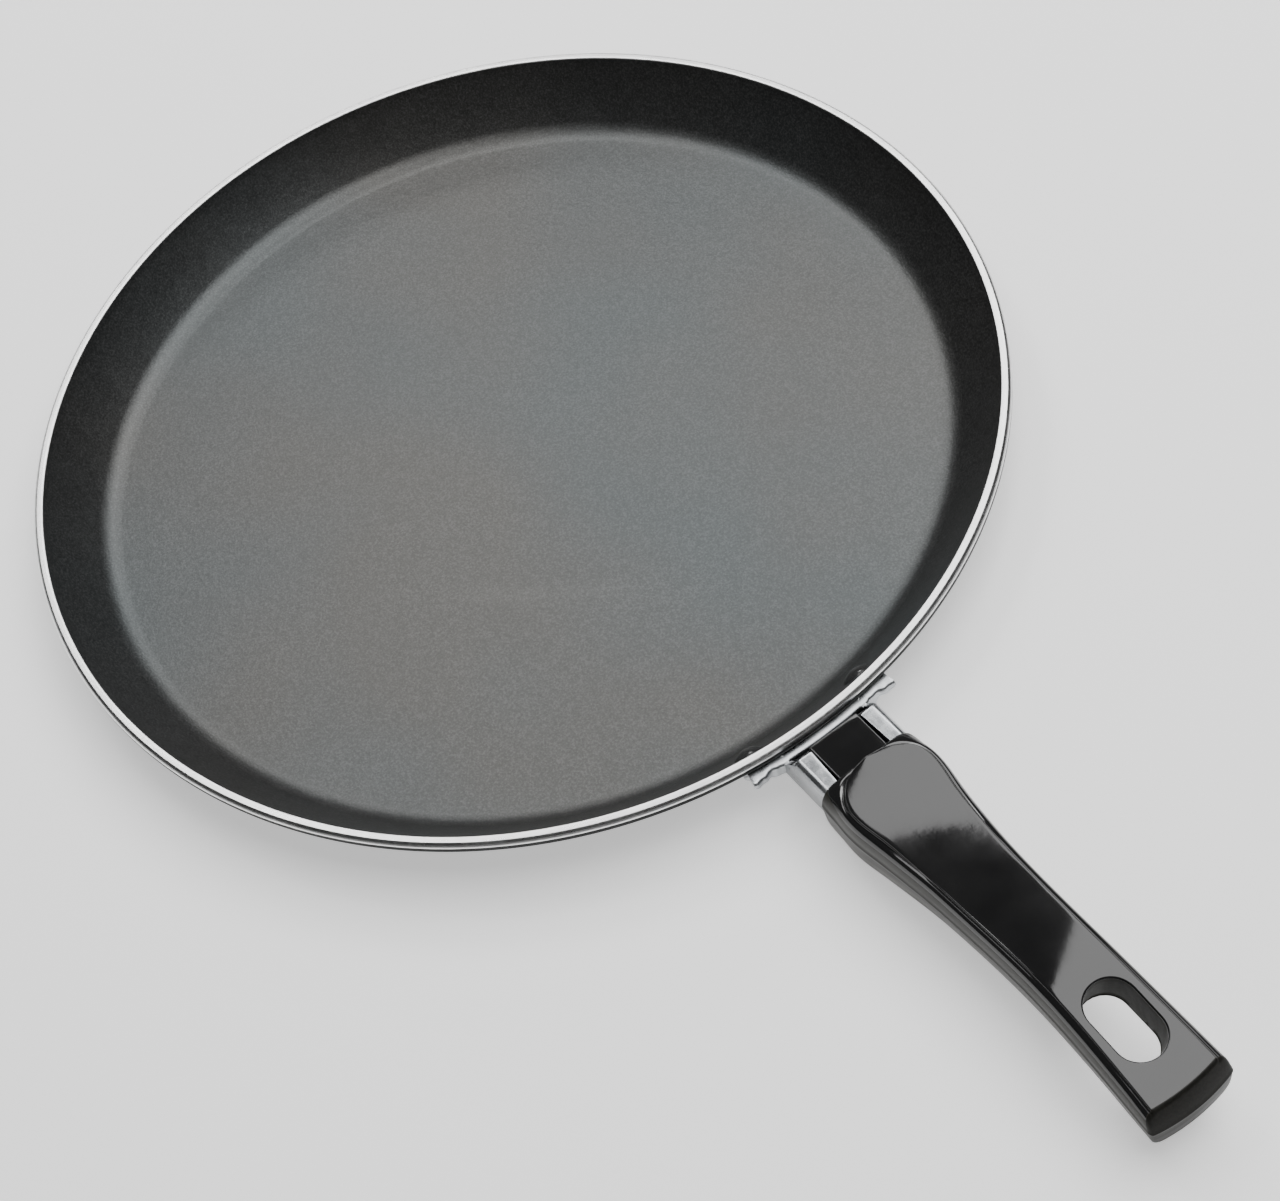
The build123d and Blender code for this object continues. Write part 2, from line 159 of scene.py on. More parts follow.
# ---------------------------------------------------------------------------
# Materials
# ---------------------------------------------------------------------------
def make_coat():
    """Non-stick coat: dark satin with a sprayed speckle and orange peel."""
    m, nt, b = new_mat("nonstick_coat")
    v = coords(nt)
    fine = noise(nt, v, 1900, 2, 0.7)
    mid = noise(nt, v, 620, 4, 0.6)
    drift = noise(nt, coords(nt, (1.0, 1.6, 1.0)), 150, 4, 0.62, 0.6)
    blotch = noise(nt, v, 26, 5, 0.6, 0.4)
    wide = noise(nt, coords(nt, (1.0, 1.3, 1.0)), 7.5, 2, 0.5)
    base = ramp(nt, fine, [(0.34, grey(0.002)), (0.50, grey(0.010)),
                           (0.66, grey(0.034))])
    tone = ramp(nt, blotch, [(0.3, grey(0.80)), (0.7, grey(1.20))])
    col = mix(nt, 1.0, base, tone, "MULTIPLY")
    nt.links.new(col, b.inputs["Base Color"])
    # cool and warm drifts in the sheen, as on a cured fluoropolymer coat
    tint = ramp(nt, wide, [(0.36, (0.90, 0.985, 1.0)), (0.50, (0.95, 0.98, 0.97)),
                           (0.62, (0.985, 0.975, 0.935))])
    grain = ramp(nt, fine, [(0.32, grey(0.82)), (0.68, grey(1.0))])
    cloud = ramp(nt, drift, [(0.32, grey(0.90)), (0.68, grey(1.0))])
    tint = mix(nt, 1.0, mix(nt, 1.0, tint, grain, "MULTIPLY"), cloud, "MULTIPLY")
    # one long faint rub mark where the coat has been wiped smoother
    r, x, y, z = radius_of(nt)
    lx = math_n(nt, "ADD", math_n(nt, "MULTIPLY", math_n(nt, "ADD", x, -0.042),
                                  0.655),
                math_n(nt, "MULTIPLY", math_n(nt, "ADD", y, 0.022), 0.755))
    ly = math_n(nt, "ADD", math_n(nt, "MULTIPLY", math_n(nt, "ADD", x, -0.042),
                                  -0.755),
                math_n(nt, "MULTIPLY", math_n(nt, "ADD", y, 0.022), 0.655))
    q = math_n(nt, "ADD",
               math_n(nt, "POWER", math_n(nt, "ABSOLUTE",
                                          math_n(nt, "DIVIDE", lx, 0.030)), 2.0),
               math_n(nt, "POWER", math_n(nt, "ABSOLUTE",
                                          math_n(nt, "DIVIDE", ly, 0.0032)), 2.0))
    rub = remap(nt, q, 0.0, 1.0, 1.0, 0.0)
    rub = math_n(nt, "MULTIPLY", rub, remap(nt, drift, 0.35, 0.6, 0.4, 1.0))
    # sparse pin specks left by the spray
    cell = nt.nodes.new("ShaderNodeTexVoronoi")
    cell.inputs["Scale"].default_value = 42.0
    nt.links.new(v, cell.inputs["Vector"])
    pick = nt.nodes.new("ShaderNodeSeparateColor")
    nt.links.new(cell.outputs["Color"], pick.inputs[0])
    near = remap(nt, cell.outputs["Distance"], 0.018, 0.034, 1.0, 0.0)
    speck = math_n(nt, "MULTIPLY", near,
                   math_n(nt, "GREATER_THAN", pick.outputs[0], 0.80))
    tint = mix(nt, math_n(nt, "MULTIPLY", speck, 0.55), tint, (0.30, 0.30, 0.30))
    nt.links.new(tint, b.inputs["Specular Tint"])
    r1 = remap(nt, drift, 0.3, 0.7, 0.385, 0.435)
    r1 = math_n(nt, "SUBTRACT", r1, math_n(nt, "MULTIPLY", rub, 0.045))
    nt.links.new(r1, b.inputs["Roughness"])
    b.inputs["IOR"].default_value = 1.85
    b.inputs["Metallic"].default_value = 0.0
    h1 = bump(nt, b, mid, 0.16, 0.0004)
    h2 = bump(nt, b, drift, 0.05, 0.0012, h1)
    bump(nt, b, fine, 0.20, 0.00018, h2)
    return m


def make_rim():
    """Bare turned aluminium on the rim land and rim side."""
    m, nt, b = new_mat("bare_rim_aluminium")
    r, x, y, z = radius_of(nt)
    ang = math_n(nt, "ARCTAN2", y, x)
    comb = nt.nodes.new("ShaderNodeCombineXYZ")
    nt.links.new(math_n(nt, "MULTIPLY", r, 9000.0), comb.inputs[0])
    nt.links.new(math_n(nt, "MULTIPLY", ang, 7.0), comb.inputs[1])
    nt.links.new(math_n(nt, "MULTIPLY", z, 9000.0), comb.inputs[2])
    lines = noise(nt, comb.outputs[0], 1.0, 3, 0.6)
    v = coords(nt)
    wear = noise(nt, v, 120, 4, 0.6)
    col = ramp(nt, wear, [(0.3, (0.80, 0.80, 0.80)), (0.7, (0.93, 0.93, 0.92))])
    nt.links.new(col, b.inputs["Base Color"])
    b.inputs["Metallic"].default_value = 1.0
    nt.links.new(remap(nt, lines, 0.3, 0.7, 0.26, 0.40), b.inputs["Roughness"])
    bump(nt, b, lines, 0.15, 0.00006)
    return m


def make_enamel():
    """Black outside enamel with a fine spatter."""
    m, nt, b = new_mat("outside_enamel")
    v = coords(nt)
    fine = noise(nt, v, 1500, 3, 0.6)
    wide = noise(nt, v, 60, 3, 0.5)
    col = ramp(nt, fine, [(0.35, grey(0.010)), (0.7, grey(0.022))])
    nt.links.new(col, b.inputs["Base Color"])
    nt.links.new(remap(nt, wide, 0.3, 0.7, 0.24, 0.34), b.inputs["Roughness"])
    b.inputs["IOR"].default_value = 1.5
    bump(nt, b, fine, 0.10, 0.0002)
    return m


def make_bead_enamel():
    """The same black, darker and duller in the bead's groove and foot; the extra
    darkness is painted shade under the bead."""
    m, nt, b = new_mat("bead_enamel_painted_shade")
    v = coords(nt)
    fine = noise(nt, v, 1500, 3, 0.6)
    wide = noise(nt, v, 90, 4, 0.6)
    col = ramp(nt, fine, [(0.35, grey(0.004)), (0.7, grey(0.010))])
    nt.links.new(col, b.inputs["Base Color"])
    nt.links.new(remap(nt, wide, 0.3, 0.7, 0.42, 0.55), b.inputs["Roughness"])
    b.inputs["IOR"].default_value = 1.25
    bump(nt, b, fine, 0.10, 0.0002)
    return m


def make_bead_slope():
    """Aluminium slope outside the land, its base colour darkened as painted shade."""
    m, nt, b = new_mat("bead_slope_painted_shade")
    v = coords(nt)
    slope_noise = noise(nt, v, 900, 3, 0.6)
    wear = noise(nt, v, 70, 4, 0.6)
    col = mix(nt, 1.0, ramp(nt, slope_noise, [(0.3, grey(0.34)), (0.7, grey(0.58))]),
              ramp(nt, wear, [(0.3, grey(0.80)), (0.7, grey(1.0))]), "MULTIPLY")
    nt.links.new(col, b.inputs["Base Color"])
    b.inputs["Metallic"].default_value = 1.0
    nt.links.new(remap(nt, wear, 0.3, 0.7, 0.22, 0.32), b.inputs["Roughness"])
    bump(nt, b, slope_noise, 0.08, 0.00008)
    return m


def make_base():
    """Turned bare base with concentric tool rings and light scuffs."""
    m, nt, b = new_mat("turned_base")
    r, x, y, z = radius_of(nt)
    ring = nt.nodes.new("ShaderNodeTexWave")
    ring.wave_type = "RINGS"
    ring.rings_direction = "Z"
    ring.inputs["Scale"].default_value = 190.0
    ring.inputs["Distortion"].default_value = 0.25
    ring.inputs["Detail"].default_value = 2.0
    v = coords(nt)
    nt.links.new(v, ring.inputs["Vector"])
    scuff = noise(nt, coords(nt, (14, 260, 1)), 1.0, 5, 0.65)
    wear = noise(nt, v, 22, 5, 0.6)
    col = ramp(nt, wear, [(0.3, (0.56, 0.56, 0.565)), (0.7, (0.70, 0.70, 0.695))])
    dark = ramp(nt, scuff, [(0.62, grey(1.0)), (0.70, grey(0.80))])
    col = mix(nt, 1.0, col, dark, "MULTIPLY")
    nt.links.new(col, b.inputs["Base Color"])
    b.inputs["Metallic"].default_value = 1.0
    nt.links.new(remap(nt, wear, 0.3, 0.7, 0.30, 0.46), b.inputs["Roughness"])
    h = bump(nt, b, ring.outputs["Fac"], 0.35, 0.0001)
    bump(nt, b, scuff, 0.08, 0.0001, h)
    return m


def make_steel(name, lo, hi, rough_lo, rough_hi, spangle=0.10, foot=None):
    """Bright stamped sheet: soft spangle, fine scratches and press marks; with foot
    given, painted shade darkens the lower part.
    """
    m, nt, b = new_mat(name)
    v = coords(nt)
    cells = nt.nodes.new("ShaderNodeTexVoronoi")
    cells.inputs["Scale"].default_value = 420.0
    nt.links.new(v, cells.inputs["Vector"])
    sp = nt.nodes.new("ShaderNodeSeparateColor")
    nt.links.new(cells.outputs["Color"], sp.inputs[0])
    scr = noise(nt, coords(nt, (60, 900, 900)), 1.0, 4, 0.6)
    blot = noise(nt, v, 160, 5, 0.6)
    c = ramp(nt, blot, [(0.3, lo), (0.7, hi)])
    sg = ramp(nt, sp.outputs[0], [(0.0, grey(1 - spangle)), (1.0, grey(1.0))])
    col = mix(nt, 1.0, c, sg, "MULTIPLY")
    if foot:
        # painted shade: the base colour darkens toward the bottom of the sheet
        z = radius_of(nt)[3]
        zz = math_n(nt, "ADD", z, math_n(nt, "MULTIPLY", math_n(
            nt, "ADD", blot, -0.5), 0.004))
        low, high, dark = foot
        painted_shade = ramp(nt, remap(nt, zz, low, high, 0.0, 1.0),
                     [(0.0, grey(dark)), (0.55, grey(0.5 * (1 + dark) - 0.06)),
                      (1.0, grey(1.0))])
        col = mix(nt, 1.0, col, painted_shade, "MULTIPLY")
    nt.links.new(col, b.inputs["Base Color"])
    b.inputs["Metallic"].default_value = 1.0
    nt.links.new(remap(nt, blot, 0.3, 0.7, rough_lo, rough_hi),
                 b.inputs["Roughness"])
    h = bump(nt, b, scr, 0.10, 0.0001)
    bump(nt, b, blot, 0.10, 0.0003, h)
    return m


def make_rivet():
    m, nt, b = new_mat("coated_rivet")
    v = coords(nt)
    fine = noise(nt, v, 2600, 3, 0.6)
    wide = noise(nt, v, 300, 3, 0.5)
    col = ramp(nt, fine, [(0.3, grey(0.016)), (0.7, grey(0.036))])
    nt.links.new(col, b.inputs["Base Color"])
    nt.links.new(remap(nt, wide, 0.3, 0.7, 0.15, 0.20), b.inputs["Roughness"])
    b.inputs["IOR"].default_value = 1.55
    bump(nt, b, wide, 0.04, 0.0002)
    return m


def make_phenolic():
    """Black phenolic, polished: the raised land and its shoulders."""
    m, nt, b = new_mat("black_phenolic")
    v = coords(nt)
    long_n = noise(nt, coords(nt, (40, 400, 400)), 1.0, 4, 0.55)
    wide = noise(nt, v, 90, 4, 0.55)
    fine = noise(nt, v, 1800, 3, 0.6)
    top = ramp(nt, wide, [(0.3, (0.0065, 0.0065, 0.0068)),
                          (0.7, (0.010, 0.010, 0.0102))])
    nt.links.new(top, b.inputs["Base Color"])
    nt.links.new(remap(nt, wide, 0.3, 0.7, 0.060, 0.095), b.inputs["Roughness"])
    b.inputs["IOR"].default_value = 1.60
    h = bump(nt, b, wide, 0.04, 0.0005)
    h = bump(nt, b, long_n, 0.05, 0.0001, h)
    bump(nt, b, fine, 0.03, 0.00005, h)
    return m


def make_phenolic_satin():
    """The same moulding where it left the tool unpolished: browner, satin."""
    m, nt, b = new_mat("satin_phenolic")
    v = coords(nt)
    long_n = noise(nt, coords(nt, (40, 500, 500)), 1.0, 4, 0.55)
    wide = noise(nt, v, 70, 4, 0.55)
    fine = noise(nt, v, 1800, 3, 0.6)
    side = ramp(nt, fine, [(0.3, (0.012, 0.0112, 0.0085)),
                           (0.7, (0.026, 0.0245, 0.019))])
    tone = ramp(nt, wide, [(0.3, grey(0.80)), (0.7, grey(1.15))])
    side = mix(nt, 1.0, side, tone, "MULTIPLY")
    nt.links.new(side, b.inputs["Base Color"])
    nt.links.new(remap(nt, long_n, 0.3, 0.7, 0.34, 0.46), b.inputs["Roughness"])
    b.inputs["IOR"].default_value = 1.34
    h = bump(nt, b, long_n, 0.08, 0.0001)
    bump(nt, b, fine, 0.06, 0.00008, h)
    return m


def make_phenolic_end():
    """Rear end, where the moulding was trimmed and left dull; its colour, darker than
    the flanks, is painted shade.
    """
    m, nt, b = new_mat("end_phenolic_painted_shade")
    v = coords(nt)
    trim = noise(nt, coords(nt, (200, 60, 700)), 1.0, 4, 0.6)
    fine = noise(nt, v, 1700, 3, 0.6)
    # painted shade: a darker base than the satin flanks
    c = ramp(nt, fine, [(0.3, (0.0065, 0.0062, 0.0052)),
                        (0.7, (0.014, 0.0134, 0.011))])
    nt.links.new(c, b.inputs["Base Color"])
    nt.links.new(remap(nt, trim, 0.3, 0.7, 0.34, 0.48), b.inputs["Roughness"])
    b.inputs["IOR"].default_value = 1.26
    h = bump(nt, b, trim, 0.08, 0.0001)
    bump(nt, b, fine, 0.06, 0.00008, h)
    return m


def make_phenolic_matt():
    """As-moulded walls of the hanging slot: dull, slightly flow marked."""
    m, nt, b = new_mat("slot_phenolic")
    v = coords(nt)
    flow = noise(nt, coords(nt, (260, 260, 60)), 1.0, 4, 0.6)
    fine = noise(nt, v, 1500, 3, 0.6)
    c = ramp(nt, fine, [(0.3, (0.010, 0.0097, 0.0075)),
                        (0.7, (0.022, 0.0212, 0.016))])
    nt.links.new(c, b.inputs["Base Color"])
    nt.links.new(remap(nt, flow, 0.3, 0.7, 0.50, 0.64), b.inputs["Roughness"])
    b.inputs["IOR"].default_value = 1.20
    h = bump(nt, b, flow, 0.10, 0.0002)
    bump(nt, b, fine, 0.08, 0.0001, h)
    return m


def make_brass():
    m, nt, b = new_mat("turned_brass")
    v = coords(nt)
    n = noise(nt, coords(nt, (300, 300, 4000)), 1.0, 4, 0.6)
    w = noise(nt, v, 400, 4, 0.6)
    col = ramp(nt, w, [(0.3, (0.58, 0.42, 0.16)), (0.7, (0.74, 0.56, 0.26))])
    nt.links.new(col, b.inputs["Base Color"])
    b.inputs["Metallic"].default_value = 1.0
    nt.links.new(remap(nt, n, 0.3, 0.7, 0.28, 0.42), b.inputs["Roughness"])
    bump(nt, b, n, 0.15, 0.00008)
    return m


COAT = make_coat()
RIM = make_rim()
ENAMEL = make_enamel()
BEAD = make_bead_enamel()
BEAD_SLOPE = make_bead_slope()
BASE = make_base()
STEEL = make_steel("bright_bracket_steel", (0.38, 0.395, 0.41),
                   (0.58, 0.595, 0.61), 0.22, 0.36, 0.14)
# the channel's steel darkens toward its bottom as painted shade
STEEL_CHANNEL = make_steel("channel_steel_painted_shade", (0.40, 0.415, 0.43),
                           (0.60, 0.615, 0.63), 0.22, 0.36, 0.14,
                           (0.0085, 0.0205, 0.30))
ZINC = make_steel("zinc_plated_steel", (0.52, 0.53, 0.54), (0.68, 0.69, 0.70),
                  0.26, 0.38, 0.05)
RIVET = make_rivet()
PHENOLIC = make_phenolic()
PHENOLIC_SATIN = make_phenolic_satin()
PHENOLIC_MATT = make_phenolic_matt()
PHENOLIC_END = make_phenolic_end()
BRASS = make_brass()


# ---------------------------------------------------------------------------
# Mesh helpers (all sizes below in millimetres)
# ---------------------------------------------------------------------------
def mesh_object(name, verts, faces, mats, mat_ids=None, smooth=True):
    me = bpy.data.meshes.new(name)
    me.from_pydata([(x * MM, y * MM, z * MM) for x, y, z in verts], [], faces)
    for m in mats:
        me.materials.append(m)
    if mat_ids:
        me.polygons.foreach_set("material_index", mat_ids)
    if smooth:
        me.polygons.foreach_set("use_smooth", [True] * len(me.polygons))
    me.validate()
    me.update()
    o = bpy.data.objects.new(name, me)
    bpy.context.scene.collection.objects.link(o)
    return o


def arc(cx, cz, r, a0, a1, n):
    return [(cx + r * math.cos(math.radians(a0 + (a1 - a0) * i / n)),
             cz + r * math.sin(math.radians(a0 + (a1 - a0) * i / n)))
            for i in range(n + 1)]


# ---------------------------------------------------------------------------
# Pan: revolved section
# ---------------------------------------------------------------------------
SHEET = 2.4
RIM_IN, RIM_OUT, RIM_Z = 127.0, 129.55, 18.98
WALL_DEG = 47.0                      # slope where the wall leaves the fillet
WALL = math.radians(WALL_DEG)
FIL, FCR = 8.2, 110.2
CZ = SHEET + FIL
WTZ = CZ - FIL * math.cos(WALL)
WTR = FCR + FIL * math.sin(WALL)
OTR = FCR + (FIL + SHEET) * math.sin(WALL)
OTZ = CZ - (FIL + SHEET) * math.cos(WALL)
# above the fillet the wall bows up to the rim along one tangent arc
CHORD = math.atan2(RIM_Z - WTZ, RIM_IN - WTR)
BOW_R = math.hypot(RIM_IN - WTR, RIM_Z - WTZ) / (2 * math.sin(CHORD - WALL))
BOW_X = WTR - BOW_R * math.sin(WALL)
BOW_Z = WTZ + BOW_R * math.cos(WALL)


def inner_r(z):
    return BOW_X + math.sqrt(BOW_R ** 2 - (BOW_Z - z) ** 2)


def outer_r(z):
    """Outer wall radius; below the fillet line it follows the fillet."""
    if z < OTZ:
        return FCR + math.sqrt(max(0.0, (FIL + SHEET) ** 2 - (CZ - z) ** 2))
    return BOW_X + math.sqrt((BOW_R + SHEET) ** 2 - (BOW_Z - z) ** 2)


RIVET_Z = 12.70
SLOPE = math.acos((BOW_Z - RIVET_Z) / BOW_R)     # wall slope at the rivets
CA, SA = math.cos(SLOPE), math.sin(SLOPE)


def pan_profile():
    """Section from the middle of the floor out over the rim to the base."""
    p, ids = [], []

    def run(points, mat):
        for q in points:
            if p and abs(q[0] - p[-1][0]) + abs(q[1] - p[-1][1]) < 1e-6:
                continue
            p.append(q)
            ids.append(mat)

    floor = [(r, SHEET) for r in (0.8, 6, 16, 30, 46, 62, 78, 92, 102, 108)]
    run(floor, 0)
    run(arc(FCR, CZ, FIL, -90, -90 + WALL_DEG, 26), 0)
    run([(inner_r(WTZ + (RIM_Z - 0.30 - WTZ) * t) - 0.02 * t,
          WTZ + (RIM_Z - 0.30 - WTZ) * t) for t in
         (0.14, 0.28, 0.42, 0.56, 0.70, 0.84, 1.0)], 0)
    run([(RIM_IN - 0.12, RIM_Z - 0.05), (RIM_IN + 0.05, RIM_Z)], 1)
    run([(RIM_IN + 0.6, RIM_Z), (RIM_IN + 1.1, RIM_Z), (RIM_IN + 1.44, RIM_Z),
         (RIM_IN + 1.50, RIM_Z - 0.005)], 1)
    # the slope outside the land is painted darker as shade, then the round
    # bare bead, and below it the enamelled foot of the bead, painted darker still as
    # shade
    run([(RIM_IN + 1.57, RIM_Z - 0.04), (RIM_IN + 1.83, RIM_Z - 0.24),
         (RIM_IN + 2.10, RIM_Z - 0.45)], 5)
    run([(RIM_IN + 2.16, RIM_Z - 0.51), (RIM_OUT - 0.16, RIM_Z - 0.74),
         (RIM_OUT - 0.04, RIM_Z - 1.00), (RIM_OUT, RIM_Z - 1.20)], 1)
    # painted shade: the bead's foot takes the darker bead enamel
    run([(RIM_OUT - 0.03, 17.70), (RIM_OUT - 0.02, 17.40), (RIM_OUT - 0.02, 17.00),
         (RIM_OUT - 0.06, 16.50), (RIM_OUT - 0.14, 16.16), (RIM_OUT - 0.34, 15.96),
         (outer_r(15.85) + 0.05, 15.88)], 4)
    run([(outer_r(z), z) for z in (15.6, 14.6, 13.2, 11.4, 9.6, 7.6, OTZ)], 2)
    run(arc(FCR, CZ, FIL + SHEET, -90 + WALL_DEG, -90, 26), 2)
    run([(FCR - 0.6, 0.0)], 2)
    run([(r, 0.0) for r in (107, 98, 84, 70, 56, 42, 30, 18, 8, 0.8)], 3)
    return p, ids


def build_pan():
    prof, ids = pan_profile()
    seg = 768
    verts, faces, mids = [], [], []
    n = len(prof)
    for i in range(seg):
        a = 2 * math.pi * i / seg
        c, s = math.cos(a), math.sin(a)
        for r, z in prof:
            verts.append((r * c, r * s, z))
    top = len(verts)
    verts.append((0, 0, SHEET))
    verts.append((0, 0, 0.0))
    for i in range(seg):
        j = (i + 1) % seg
        for k in range(n - 1):
            faces.append((i * n + k, j * n + k, j * n + k + 1, i * n + k + 1))
            mids.append(ids[k + 1])
        faces.append((top, j * n, i * n))
        mids.append(0)
        faces.append((top + 1, i * n + n - 1, j * n + n - 1))
        mids.append(3)
    faces = [tuple(reversed(f)) for f in faces]
    o = mesh_object("pan_disc", verts, faces, [COAT, RIM, ENAMEL, BASE, BEAD,
                                              BEAD_SLOPE], mids)
    return o


pan = build_pan()
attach(pan, "root")
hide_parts("pan_body")


# ---------------------------------------------------------------------------
# Rivets: domed head inside, upset tail outside
# ---------------------------------------------------------------------------
def rivet_frame(side):
    r = inner_r(RIVET_Z)
    a = math.radians(7.75 * side)
    rad = Vector((math.cos(a), math.sin(a), 0))
    n = Vector((SA * rad.x, SA * rad.y, -CA))       # outward through the wall
    up = Vector((CA * rad.x, CA * rad.y, SA))
    o = Vector((r * rad.x, r * rad.y, RIVET_Z))
    return o, n, up, n.cross(up)


def build_rivet(name, side):
    o, n, up, w = rivet_frame(side)
    grip = SHEET + 0.05 + 1.5
    head_r, head_h = 3.95, 1.62
    dome = (head_r ** 2 + head_h ** 2) / (2 * head_h)
    prof = []
    for i in range(1, 15):
        a = math.asin(head_r / dome) * i / 14
        prof.append((dome * math.sin(a), -head_h + dome - dome * math.cos(a)))
    prof += [(head_r, 0.02), (2.4, 0.02), (2.4, grip - 0.02), (3.5, grip),
             (3.78, grip + 0.16), (3.86, grip + 0.5), (3.7, grip + 0.95),
             (3.35, grip + 1.4), (2.6, grip + 1.75), (1.6, grip + 1.9),
             (0.6, grip + 1.93)]
    seg = 72
    verts, faces = [], []
    m = len(prof)
    rnd = random.Random(5 + side)
    ph = [rnd.uniform(0, 6.28) for _ in range(3)]
    for i in range(seg):
        a = 2 * math.pi * i / seg
        lump = 1 + 0.018 * math.sin(2 * a + ph[0]) + 0.012 * math.sin(3 * a + ph[1])
        for k, (r, d) in enumerate(prof):
            rr = r * (min(lump, 1.0) if d > grip else 1.0)
            q = o + n * d + (up * math.cos(a) + w * math.sin(a)) * rr
            verts.append(tuple(q))
    t0 = len(verts)
    verts.append(tuple(o + n * (-head_h)))
    verts.append(tuple(o + n * (grip + 1.93)))
    for i in range(seg):
        j = (i + 1) % seg
        for k in range(m - 1):
            faces.append((i * m + k, j * m + k, j * m + k + 1, i * m + k + 1))
        faces.append((t0, j * m, i * m))
        faces.append((t0 + 1, i * m + m - 1, j * m + m - 1))
    mids = []
    for f in faces:
        ds = [(Vector(verts[v]) - o).dot(n) for v in f]
        mids.append(0 if max(ds) < 0.5 else 1)
    return mesh_object(name, verts, faces, [RIVET, ZINC], mids)


for side, nm in ((-1, "rivet_right"), (1, "rivet_left")):
    rv = build_rivet("fine_" + nm, side)
    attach(rv, "root")
    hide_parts(nm)


# ---------------------------------------------------------------------------
# Handle
# ---------------------------------------------------------------------------
# x, land height, land half width, body half width, underside height
ST = [
    (146.0, 21.60, 4.40, 12.60, 6.60),
    (147.2, 22.30, 6.60, 13.40, 5.60),
    (150.0, 22.85, 9.00, 14.25, 4.90),
    (154.0, 23.10, 10.80, 14.80, 4.60),
    (160.0, 22.95, 11.50, 14.85, 4.50),
    (166.0, 22.30, 11.00, 14.10, 4.70),
    (174.0, 21.40, 10.20, 12.95, 5.50),
    (184.0, 20.95, 9.35, 11.80, 6.80),
    (196.0, 21.40, 8.75, 11.00, 8.00),
    (208.0, 22.25, 8.35, 10.55, 8.70),
    (220.0, 22.55, 8.20, 10.50, 8.80),
    (232.0, 21.70, 8.40, 10.80, 8.10),
    (244.0, 19.95, 8.90, 11.30, 6.90),
    (253.0, 18.40, 9.25, 11.80, 5.90),
    (262.0, 16.90, 9.60, 12.20, 5.00),
]


def spline(xs, ys):
    """Natural cubic through the points, as a function."""
    n = len(xs)
    h = [xs[i + 1] - xs[i] for i in range(n - 1)]
    al = [0.0] * n
    for i in range(1, n - 1):
        al[i] = 3 * ((ys[i + 1] - ys[i]) / h[i] - (ys[i] - ys[i - 1]) / h[i - 1])
    l, mu, z = [1.0] * n, [0.0] * n, [0.0] * n
    for i in range(1, n - 1):
        l[i] = 2 * (xs[i + 1] - xs[i - 1]) - h[i - 1] * mu[i - 1]
        mu[i] = h[i] / l[i]
        z[i] = (al[i] - h[i - 1] * z[i - 1]) / l[i]
    c, b, d = [0.0] * n, [0.0] * n, [0.0] * n
    for j in range(n - 2, -1, -1):
        c[j] = z[j] - mu[j] * c[j + 1]
        b[j] = (ys[j + 1] - ys[j]) / h[j] - h[j] * (c[j + 1] + 2 * c[j]) / 3
        d[j] = (c[j + 1] - c[j]) / (3 * h[j])

    def f(x):
        i = 0
        while i < n - 2 and x > xs[i + 1]:
            i += 1
        t = x - xs[i]
        return ys[i] + b[i] * t + c[i] * t * t + d[i] * t ** 3
    return f


XS = [s[0] for s in ST]
# land height: the front stations only dip at the rounded tip
f_land = spline([140.0, 150.0, 156.0, 162.0, 168.0, 174.0, 180.0, 186.0, 192.0,
                 198.0, 204.0, 210.0, 216.0, 222.0, 228.0, 234.0, 240.0, 246.0,
                 252.0, 258.0, 264.0],
                [26.14, 25.28, 24.73, 24.15, 23.66, 23.36, 23.22, 23.18, 23.28,
                 23.56, 23.95, 24.33, 24.56, 24.50, 24.10, 23.45, 22.62, 21.68,
                 20.65, 19.60, 18.50])
f_a = spline([150.0, 154.0, 160.0, 166.0, 174.0, 184.0, 196.0, 208.0, 220.0,
              232.0, 244.0, 253.0, 262.0],
             [10.9, 11.6, 11.75, 10.75, 9.85, 9.15, 8.65, 8.30, 8.20, 8.40, 8.90,
              9.25, 9.60])
f_b = spline([150.0, 154.0, 160.0, 166.0, 174.0, 184.0, 196.0, 208.0, 220.0,
              232.0, 244.0, 253.0, 262.0],
             [13.70, 14.10, 14.15, 13.35, 12.35, 11.40, 10.80, 10.48, 10.45,
              10.75, 11.25, 11.70, 12.1])
f_zb = spline([140.0, 150.0, 160.0, 166.0, 174.0, 184.0, 196.0, 208.0, 220.0,
               232.0, 244.0, 253.0, 262.0],
              [7.2, 7.1, 6.95, 7.15, 7.85, 9.15, 10.25, 10.95, 11.1, 10.4, 9.3,
               8.3, 7.4])


def smooth01(t):
    t = max(0.0, min(1.0, t))
    return t * t * (3 - 2 * t)


LAND_TIP = 148.2
BODY_TIP = 146.0
END_MID, END_COR = 256.5, 255.0      # where the land stops at the rear


def land_half(x):
    """Half width of the raised land, with a round teardrop front."""
    a = f_a(max(x, 150.0))
    if x < 157.7:
        t = max(0.0, (x - LAND_TIP) / (157.7 - LAND_TIP))
        a = f_a(157.7) * (1 - (1 - t) ** 2.1) ** (1 / 2.1)
    return a


def crown(x):
    """Rise of the land at its middle: nearly flat at the wide front."""
    return 0.10 + 0.14 * smooth01((x - 180.0) / 24.0)


def body_half(x):
    b = f_b(max(x, 150.0))
    if x < 153.0:
        t = max(0.0, (x - BODY_TIP) / (153.0 - BODY_TIP))
        b = 12.75 + (f_b(153.0) - 12.75) * (1 - (1 - t) ** 2) ** 0.5
    return b


